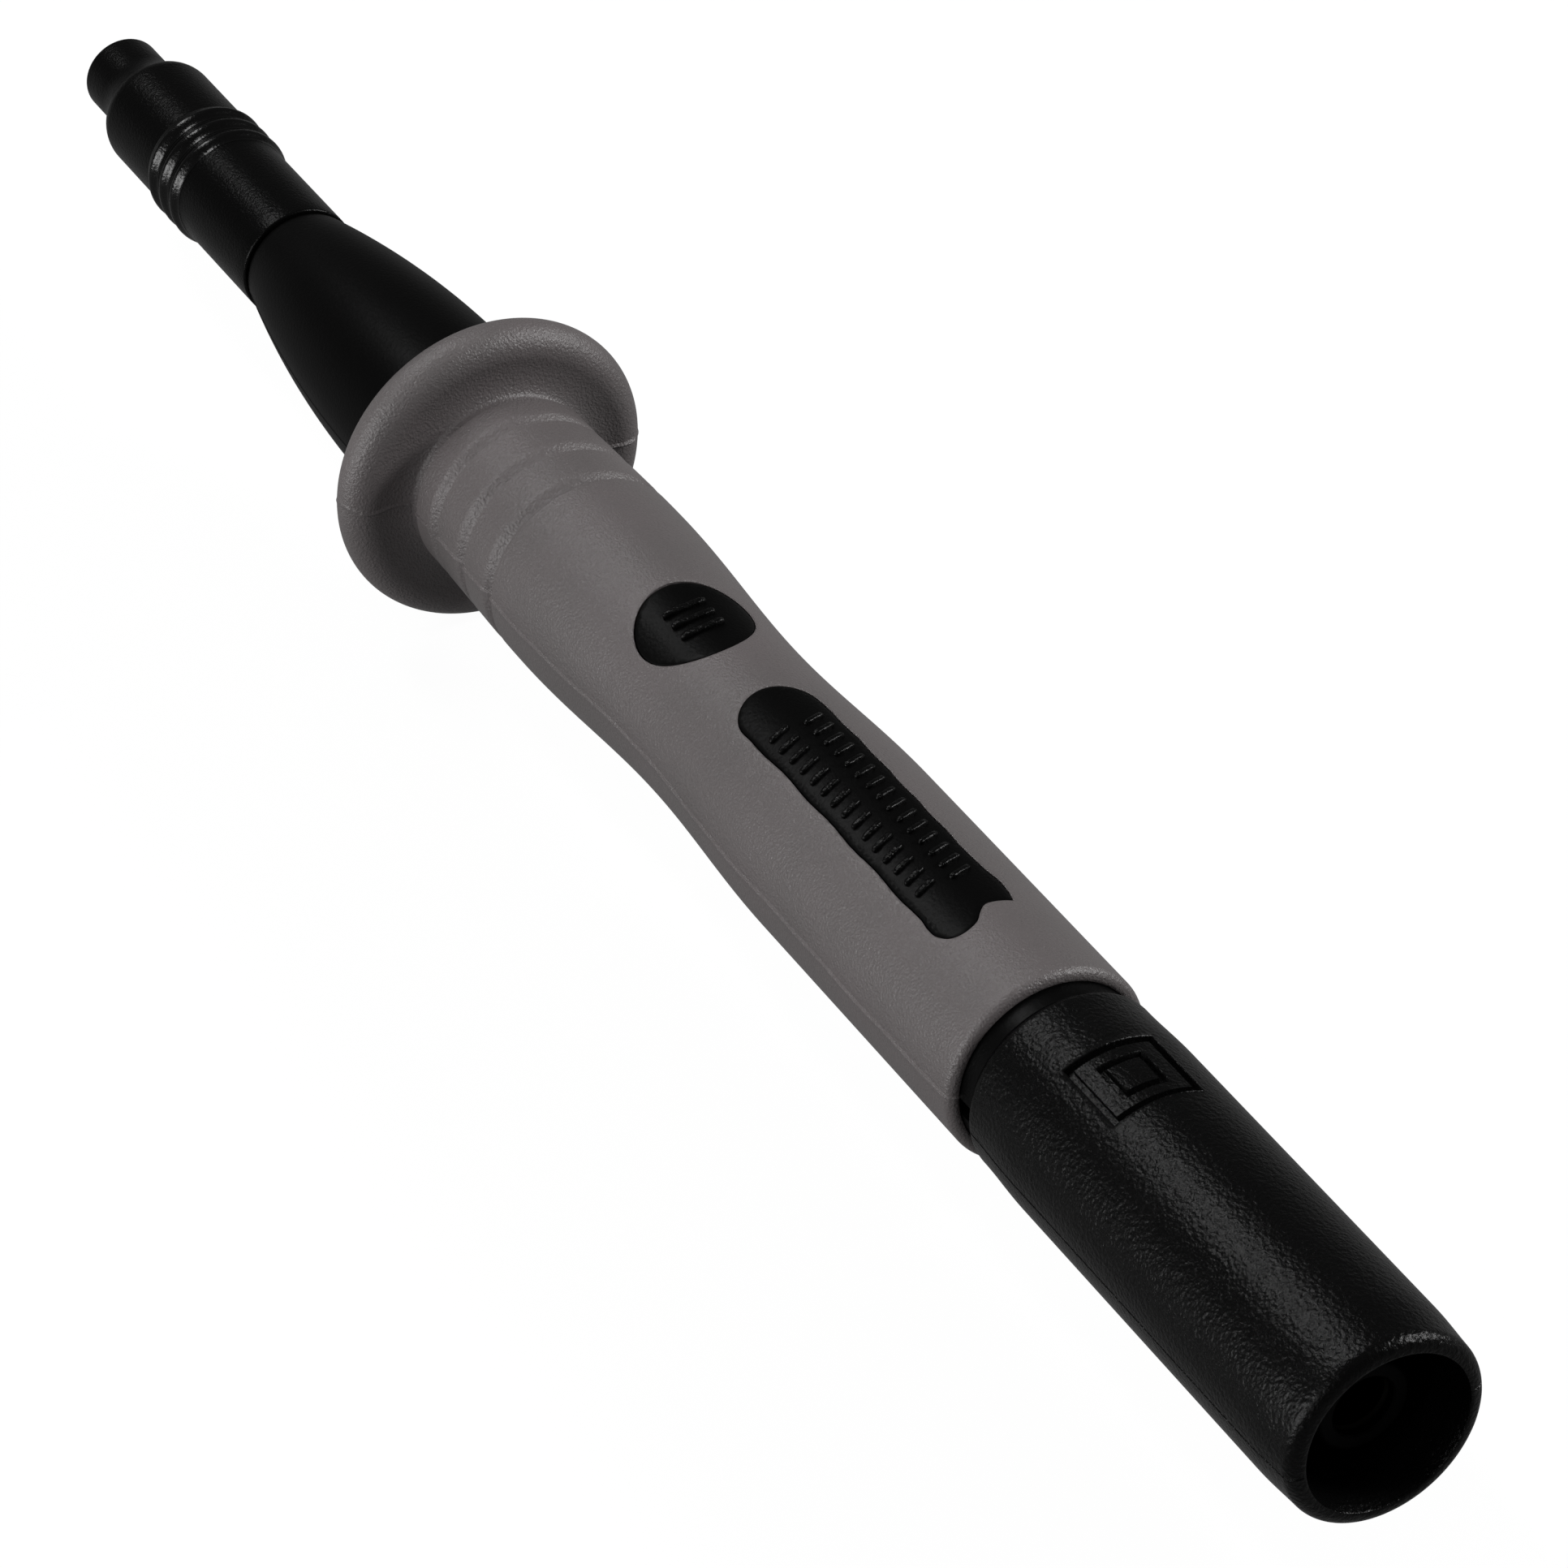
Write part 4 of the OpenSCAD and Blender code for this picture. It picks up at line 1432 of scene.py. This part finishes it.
@dataclass
class Core:
    """The black body under the grip: neck, pads, cone and the spigot that carries the cap.

    The notch is the range of angles of a gap in the neck, and a low rib stands before it.
    """

    # the rounded edge of a pad: how far outside the pad each loop lies, and its depth below the top
    PAD_EDGE = [(-0.01, 0.12), (-0.04, 0.03), (-0.1, 0.0)]
    LONG_RIBS = {"Columns": 15, "Rows": 2, "Column_Pitch": 1.32 * MM, "Row_Pitch": 2.5 * MM,
                 "Rib_Size": (0.42 * MM, 1.75 * MM, 0.5 * MM), "Slant": 0.3, "Spread": 0.05}
    ROUND_RIBS = {"Columns": 3, "Rows": 1, "Column_Pitch": 1.25 * MM,
                  "Rib_Size": (0.5 * MM, 3.2 * MM, 0.6 * MM)}

    palette: Palette
    grip: Grip
    bond: float = 0.02
    pad_sink: float = 0.07
    pad_gap: float = 0.03
    neck_gap: float = 1.5
    rear_spigot_r: float = 5.25
    flange_bore_r: float = 3.85
    bore_r: float = 3.4
    sheath_bore_r: float = 1.7
    cone_rear_r: float = 6.83
    cone_front_r: float = 4.18
    cone_collar: float = 3.9
    cone_len: float = 22.8
    front_spigot_r: float = 3.35
    seal_groove: float = 0.55
    seal_from_neck: float = 2.1
    notch: Point = (82.5, 95.5)
    notch_depth: float = 0.9
    notch_under_lip: float = 0.9
    notch_clear: float = 0.35
    notch_edge: float = 0.15
    rib_before_notch: float = 1.4
    rib_half_width: float = 0.9
    rib_height: float = 0.12
    drill_end: float = 28.2
    nose_web: float = 1.2
    chamfer: float = 0.3
    neck_edge: float = 0.12
    long_ribs_at: Point = (55.6, 0.1)
    ribs_from: float = 20.0
    columns: int = 180
    line: PartingLine = field(default_factory=lambda: PartingLine((93.0, -87.0), width=1.5, height=0.04))

    def __post_init__(self) -> None:
        """Works out the stations."""
        self.start, self.end, _ = reach("handle_core")
        self.neck = self.grip.lip - self.neck_gap + 0.1
        self.cone = self.grip.end + self.bond + self.cone_collar
        self.cone_end = self.cone + self.cone_len
        self.neck_r = self.grip.rear_d / 2 - self.grip.lip_wall - self.bond

    def outline(self) -> list[Point]:
        """Draws the core's section.

        Returns:
            Points (x, radius), forwards outside and back inside.
        """
        grip, spigot, chamfer = self.grip, self.rear_spigot_r, self.chamfer
        under = grip.front_d / 2 - grip.wall - self.bond
        front, groove = grip.end + self.bond, self.neck - self.seal_from_neck
        bore_end, edge = self.cone + self.nose_web, self.neck_edge
        stations = spaced(grip.lip + grip.ramp_end, grip.crease - 0.6, 0.5)
        cone = [(self.cone + self.cone_len * t,
                 self.cone_rear_r - (self.cone_rear_r - self.cone_front_r) * t * t)
                for t in np.linspace(0, 1, 60)]
        return [
            (self.start, self.flange_bore_r), (self.start, spigot - chamfer), (self.start + chamfer, spigot),
            (groove - self.seal_groove, spigot), (groove - self.seal_groove, spigot - 1),
            (groove + self.seal_groove, spigot - 1), (groove + self.seal_groove, spigot),
            (self.neck, spigot), (self.neck, self.neck_r - edge), (self.neck + edge, self.neck_r),
            *run(self.neck + edge, self.neck_r, grip.lip + grip.seat_end, self.neck_r, 0.25),
            *[(x, grip.radius(x) - grip.wall - self.bond) for x in stations],
            (grip.crease, under), *run(grip.crease, under, front, under, 2.0),
            (front, self.cone_rear_r - 0.1), (front + 0.1, self.cone_rear_r),
            *run(front + 0.1, self.cone_rear_r, self.cone, self.cone_rear_r, 0.8)[:-1],
            *cone[:-1], (self.cone_end - 0.06, self.cone_front_r),
            (self.cone_end, self.cone_front_r - 0.07), (self.cone_end, self.front_spigot_r),
            *run(self.cone_end, self.front_spigot_r, self.end - chamfer, self.front_spigot_r, 2.0),
            (self.end, self.front_spigot_r - chamfer), (self.end, self.sheath_bore_r),
            *run(self.end, self.sheath_bore_r, bore_end, self.sheath_bore_r, 5.0),
            *run(bore_end, self.bore_r, self.drill_end, self.bore_r, 5.0),
            (self.drill_end, self.flange_bore_r),
        ]

    def surface(self, x: np.ndarray, r: np.ndarray, angle: np.ndarray) -> np.ndarray:
        """Sinks the notch into the neck and raises the parting line on the cone.

        Args:
            x: Stations of points of the wall.
            r: Their radii.
            angle: Their angles in degrees.

        Returns:
            Their levels.
        """
        low, high = self.notch
        in_neck = (x > self.neck - 0.01) & (x < self.grip.lip + self.notch_under_lip)
        in_neck &= r > self.rear_spigot_r + 0.1
        sunk = in_neck & (angle > low) & (angle < high)
        rib = in_neck & (np.abs(angle - low + self.rib_before_notch) < self.rib_half_width)
        cone = (x > self.grip.end + 0.4) & (x < self.cone_end - 0.3) & (r > self.front_spigot_r + 0.5)
        level = np.where(sunk, -self.notch_depth, 0.0) + np.where(rib, self.rib_height, 0.0)
        return level + np.where(cone, self.line.lift(angle), 0.0)

    def build(self) -> None:
        """Builds and dresses the core, and sets the ribs on its pads."""
        top = self.grip.wall + self.bond - self.pad_sink
        steps = [(0.0, 0.0), *[(offset, top - depth) for offset, depth in self.PAD_EDGE]]
        windows = self.grip.windows
        pads = [Island(Island(o, []).loop(-self.pad_gap), steps, from_above=True)
                for o in windows.outlines()]
        columns = [a for a in self.line.columns(self.columns)
                   if min(abs(a - e) for e in self.notch) > self.notch_clear]
        columns += [e + k for e in self.notch for k in (-self.notch_edge, self.notch_edge)]
        wall = TurnedWall(self.outline(), columns, [windows.patch(Side.OUTER, pads)], self.surface)
        core = wall.piece("core_moulding")
        place_piece(core, Body.HANDLE, self.palette, Palette.CORE_BLACK, ["handle_core"])
        ribs = RibRow()
        for name, middle, changes in (("long_pad_ribs", self.long_ribs_at, self.LONG_RIBS),
                                      ("round_pad_ribs", (windows.middle_x, 0.0), self.ROUND_RIBS)):
            start = (middle[0] * MM, middle[1] * MM, self.ribs_from * MM)
            piece = ribs.apply(name, bpy.data.meshes.new(name), Surface=core, Start=start,
                               Material=self.palette.material(Palette.HARD_BLACK), **changes)
            place_piece(piece, Body.HANDLE, self.palette, Palette.HARD_BLACK)


def place_piece(piece: bpy.types.Object, body: Body, palette: Palette, finish: Moulded | Metal,
                nodes: Sequence[str] = ()) -> None:
    """Dresses a piece, sets it on its body and reports it.

    Args:
        piece: The new piece.
        body: The body that it rides on.
        palette: The finishes.
        finish: The piece's finish.
        nodes: CAD nodes that it replaces.
    """
    palette.dress(piece, finish)
    if nodes:
        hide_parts(*nodes)
    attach(piece, body.value)
    log.info("%s: %d points, on the %s", piece.name, len(piece.data.vertices), body.value)


def turned(name: str, outline: list[Point], lathe: Lathe, palette: Palette, body: Body,
           finish: Moulded | Metal, nodes: Sequence[str] = (), **changes: object) -> None:
    """Turns a piece and places it.

    Args:
        name: The piece's name.
        outline: Points (x, radius), forwards outside and back inside.
        lathe: The lathe.
        palette: The finishes.
        body: The body that it rides on.
        finish: The piece's finish.
        nodes: CAD nodes that it replaces.
        changes: Values of the lathe's inputs.
    """
    place_piece(lathe.turn(name, outline, palette.material(finish), **changes), body, palette, finish, nodes)


@dataclass
class Socket:
    """The insulating post in the shroud, with the contact and its fixings as they are in the frame."""

    palette: Palette
    lathe: Lathe
    post_r: float = 3.18
    bore_r: float = 2.58
    lip_bore_r: float = 2.08
    lip: float = 1.0
    lip_step: float = 0.35
    chamfer: float = 0.12
    rounding: float = 0.35
    flange_r: float = 4.95
    flange: float = 20.8
    flange_t: float = 1.6

    def build(self) -> None:
        """Turns the post and dresses the metal parts behind it."""
        front, step, flange_end = -self.lip, -self.lip_step, self.flange + self.flange_t
        outline = [
            (front + self.chamfer, self.lip_bore_r), (front, self.lip_bore_r + self.chamfer),
            *arc(front + self.rounding, self.post_r - self.rounding, self.rounding, -90, 0, 8),
            (self.flange, self.post_r), (self.flange, self.flange_r), (flange_end, self.flange_r),
            (flange_end, self.bore_r), (step, self.bore_r), (step, self.lip_bore_r)]
        # The post's black is deepened here as painted shade for the inside of the socket's mouth.
        turned("socket_post", outline, self.lathe, self.palette, Body.HANDLE, Palette.POST_BLACK_AND_SHADE,
               ["socket_insulator"])
        # The contact's brass is darkened here as painted shade for the inside of the socket's mouth.
        for node, finish in (("socket_contact", Palette.SHADE_DARKENED_BRASS), ("lock_washer", Palette.SPRING_STEEL),
                             ("conductor_rod", Palette.BARE_BRASS), ("needle_holder", Palette.BARE_BRASS),
                             ("nose_bush", Palette.BUSH_WHITE), ("neck_seal", Palette.SEAL_RUBBER)):
            self.palette.dress(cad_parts[node], finish)
            log.info("%s: kept from the frame", node)


@dataclass
class Needle:
    """The steel needle and the black insulation round it."""

    palette: Palette
    lathe: Lathe
    point_len: float = 1.6
    point_r: float = 0.15
    chamfer: float = 0.3
    bore_r: float = 1.02
    end_round: float = 0.25

    def build(self) -> None:
        """Turns the needle and its insulation."""
        start, tip, radius = reach("probe_needle")
        needle = [(start, 0.0), (start, radius - self.chamfer), (start + self.chamfer, radius),
                  *run(start + self.chamfer, radius, tip - self.point_len - 0.1, radius, 12.0),
                  (tip - self.point_len, radius - 0.03), (tip - 0.12, self.point_r + 0.06),
                  (tip - 0.03, self.point_r), (tip, self.point_r - 0.07), (tip, 0.0)]
        turned("needle", needle, self.lathe, self.palette, Body.HANDLE, Palette.STEEL, ["probe_needle"])
        start, end, radius = reach("needle_sheath")
        sheath = [(start, self.bore_r), (start, radius), (end - self.end_round, radius),
                  *arc(end - self.end_round, radius - self.end_round, self.end_round, 0, 90, 5),
                  (end, self.bore_r)]
        turned("needle_insulation", sheath, self.lathe, self.palette, Body.HANDLE, Palette.POST_BLACK_AND_SHADE,
               ["needle_sheath"])


@dataclass
class Cap:
    """The push-on tip cap with its three grip rings."""

    palette: Palette
    lathe: Lathe
    tube_len: float = 10.7
    body_r: float = 4.33
    ring_n: int = 3
    ring_pitch: float = 1.75
    ring_root: float = 0.02
    ring_share: float = 0.96
    crest_power: float = 2.1
    body_len: float = 6.75
    shoulder_r: float = 2.2
    shoulder_len: float = 4.2
    shoulder_angle: float = 50.0
    hollow_power: float = 2.1
    nose_r: float = 2.95
    nose_round: float = 0.45
    bore_r: float = 3.41
    tunnel_r: float = 1.95
    needle_bore_r: float = 1.06
    spigot_end: float = 152.6
    foot: float = 0.18
    edge: float = 0.1

    def outline(self) -> list[Point]:
        """Draws the cap's section.

        Returns:
            Points (x, radius), forwards outside and back inside.
        """
        rings = self.start + self.tube_len
        shoulder = rings + self.ring_n * self.ring_pitch + self.body_len
        nose = shoulder + self.shoulder_len
        turn = math.radians(self.shoulder_angle)
        from_x = shoulder + self.shoulder_r * math.sin(turn)
        from_r = self.body_r - self.shoulder_r * (1 - math.cos(turn))
        hollow = [(from_x + (nose - from_x) * t,
                   self.nose_r + (from_r - self.nose_r) * (1 - t) ** self.hollow_power)
                  for t in np.linspace(0, 1, 20)[1:]]
        return [
            (self.start + self.edge, self.bore_r), (self.start, self.bore_r + self.edge),
            *arc(self.start + self.foot, self.body_r - self.foot, self.foot, -90, 0, 5),
            *run(self.start + self.foot, self.body_r, shoulder, self.body_r, 1.5)[:-1],
            *arc(shoulder, self.body_r - self.shoulder_r, self.shoulder_r, 0, self.shoulder_angle, 16),
            *hollow,
            *arc(self.end - self.nose_round, self.nose_r - self.nose_round, self.nose_round, 0, 90, 10),
            (self.end, self.needle_bore_r + self.edge), (self.end - self.edge, self.needle_bore_r),
            (nose, self.needle_bore_r), (nose - 1, self.tunnel_r), (self.spigot_end, self.tunnel_r),
            (self.spigot_end, self.bore_r)]

    def ring(self) -> list[Point]:
        """Draws the rearmost ring's section, with its foot inside the cap's wall.

        Returns:
            Points (x, radius), forwards outside and back inside.
        """
        first = self.start + self.tube_len
        valley = self.body_r + self.ring_root
        crest = [(first + ((1 - self.ring_share) / 2 + self.ring_share * t) * self.ring_pitch,
                  valley + (self.ring_r - valley) * math.sin(math.pi * t) ** self.crest_power)
                 for t in np.linspace(0, 1, 25)]
        return [*crest, (crest[-1][0], self.body_r - 0.3), (crest[0][0], self.body_r - 0.3)]

    def build(self) -> None:
        """Turns the cap and repeats its rings."""
        self.start, self.end, self.ring_r = reach("tip_cap")
        turned("cap_moulding", self.outline(), self.lathe, self.palette, Body.CAP, Palette.CAP_BLACK,
               ["tip_cap"])
        turned("cap_rings", self.ring(), self.lathe, self.palette, Body.CAP, Palette.RING_BLACK,
               Copies=self.ring_n, Pitch=self.ring_pitch * MM)


# ----------------------------------------------------------------- the studio


def stand(at: Vector, right: Vector, up: Vector, back: Vector) -> Matrix:
    """Where a lamp or a camera stands, and which way it is turned.

    Args:
        at: Its place.
        right: The direction to its right.
        up: The direction of its top.
        back: The direction behind it.

    Returns:
        Its matrix.
    """
    return Matrix.Translation(at) @ Matrix((right, up, back)).transposed().to_4x4()


@dataclass(frozen=True)
class SoftBox:
    """A soft lamp that shines on the middle of the probe. Its length lies along X or Y."""

    name: str
    towards: Triple
    distance: float
    length: float
    width: float
    watts: float

    def build(self, middle: Vector) -> None:
        """Makes the lamp.

        Args:
            middle: The point that it shines on.
        """
        lamp = bpy.data.lights.new(self.name, "AREA")
        lamp.shape, lamp.energy = "RECTANGLE", self.watts
        lamp.size, lamp.size_y = self.length, self.width
        back = Vector(self.towards).normalized()
        across = Vector((0, 1, 0)).cross(back).normalized()
        in_scene(self.name, lamp).matrix_world = stand(
            middle + back * self.distance, across, back.cross(across), back)


@dataclass
class Studio:
    """Floor, world, lamps and camera.

    The background's strength is white for the camera, sky_mirrored or floor_mirrored in
    reflections, and ambient or below for the light that matt surfaces get from it. The floor
    gives that light from lit_from metres along X, and fades in over lit_fade metres. To the
    camera it shows floor_white of the background's white, and lit paper, which takes the shadow.
    """

    floor_size: float = 6.0
    floor_white: float = 0.94
    white: float = 1.02
    ambient: float = 0.28
    below: float = 1.2
    lit_from: float = 0.105
    lit_fade: float = 0.03
    sky_mirrored: float = 0.09
    floor_mirrored: float = 0.22
    paper: Triple = (240, 240, 240)
    focal_pixels: float = 9000
    sensor: float = 36
    camera_at: Triple = (-0.26099, 0.15547, 0.29734)
    looks_along: Triple = (0.69989, -0.33096, -0.63295)
    camera_up: Triple = (0.52261, -0.36675, 0.76966)
    boxes: tuple[SoftBox, ...] = (
        SoftBox("overhead_strip", (0.44, 0.12, 0.75), distance=0.66, length=0.38, width=0.1, watts=1.6),
        SoftBox("rear_left_box", (-0.4, 0.77, 0.49), distance=1.0, length=0.18, width=0.18, watts=1.15),
        SoftBox("rear_right_box", (-0.3, -0.85, 0.42), distance=1.0, length=0.24, width=0.24, watts=7.4),
        SoftBox("side_window", (0.1, 0.96, 0.22), distance=1.1, length=0.5, width=0.36, watts=6.4),
    )

    def seen(self, graph: Graph, mirrored: float, scattered: Operand) -> Value:
        """How much a ray sees of the white background.

        Args:
            graph: The tree.
            mirrored: The share for reflections.
            scattered: The share for rays that matt surfaces scatter.

        Returns:
            All of it for the camera, and a share of it for reflections and scattered light.
        """
        rays = graph.node("ShaderNodeLightPath").outputs
        reflected = Value(graph, rays["Is Glossy Ray"]).call("MAXIMUM", rays["Is Transmission Ray"])
        share = reflected * mirrored + Value(graph, rays["Is Diffuse Ray"]) * scattered
        return share.call("MAXIMUM", Value(graph, rays["Is Camera Ray"]) * self.white)

    def build(self) -> None:
        """Builds the studio."""
        low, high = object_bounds()
        middle = (low + high) / 2
        self.floor(low.z)
        self.world()
        for box in self.boxes:
            box.build(middle)
        self.camera()

    def floor(self, height: float) -> None:
        """Makes the floor.

        Args:
            height: Its height in metres.
        """
        half = self.floor_size / 2
        mesh = bpy.data.meshes.new("floor")
        mesh.from_pydata([(-half, -half, height), (half, -half, height), (half, half, height),
                          (-half, half, height)], [], [(0, 1, 2, 3)])
        floor = in_scene("floor", mesh)
        paper = bpy.data.materials.new("pale_paper")
        graph = emptied(paper)
        dull = graph.node("ShaderNodeBsdfDiffuse", sockets={"Color": shade(*self.paper)}).outputs[0]
        place = object_place(graph)
        along = graph.value("ShaderNodeSeparateXYZ", sockets={0: place})
        lit = ((along - self.lit_from) / self.lit_fade).call("MAXIMUM", 0.0).call("MINIMUM", 1.0)
        bright = graph.node("ShaderNodeEmission", sockets={
            "Color": shade(255, 255, 255),
            "Strength": self.seen(graph, self.floor_mirrored, lit * self.below)}).outputs[0]
        camera = Value(graph, graph.node("ShaderNodeLightPath").outputs["Is Camera Ray"])
        share = 1 - camera * (1 - self.floor_white)
        both = graph.node("ShaderNodeMixShader", sockets={0: share, 1: dull, 2: bright}).outputs[0]
        graph.node("ShaderNodeOutputMaterial", sockets={"Surface": both})
        mesh.materials.append(paper)
        floor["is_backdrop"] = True

    def world(self) -> None:
        """Lights the world evenly, and shows it white."""
        world = bpy.data.worlds.new("studio")
        graph = emptied(world)
        bpy.context.scene.world = world
        back = graph.node("ShaderNodeBackground", sockets={
            "Color": shade(255, 255, 255),
            "Strength": self.seen(graph, self.sky_mirrored, self.ambient)}).outputs[0]
        graph.node("ShaderNodeOutputWorld", sockets={"Surface": back})

    def camera(self) -> None:
        """Places the camera."""
        data = bpy.data.cameras.new("camera")
        data.lens, data.sensor_width = self.focal_pixels / IMAGE_SIDE * self.sensor, self.sensor
        data.clip_start, data.clip_end = 0.01, 20.0
        up, back = Vector(self.camera_up), -Vector(self.looks_along)
        camera = in_scene("camera", data)
        camera.matrix_world = stand(Vector(self.camera_at), up.cross(back), up, back)
        bpy.context.scene.camera = camera
        bpy.context.scene.view_settings.view_transform = "Standard"


def main() -> None:
    """Builds every sub-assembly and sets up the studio."""
    logging.basicConfig(level=logging.INFO, format="%(name)s: %(message)s")
    for name in STARTUP_OBJECTS:
        if name in bpy.data.objects:
            bpy.data.objects.remove(bpy.data.objects[name])
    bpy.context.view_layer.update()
    palette, lathe = Palette(), Lathe()
    grip = Grip(palette)
    for assembly in (Shroud(palette), grip, Core(palette, grip), Socket(palette, lathe),
                     Needle(palette, lathe), Cap(palette, lathe)):
        log.info("building %s", type(assembly).__name__.lower())
        assembly.build()
    Studio().build()


if __name__ == "__main__":
    main()
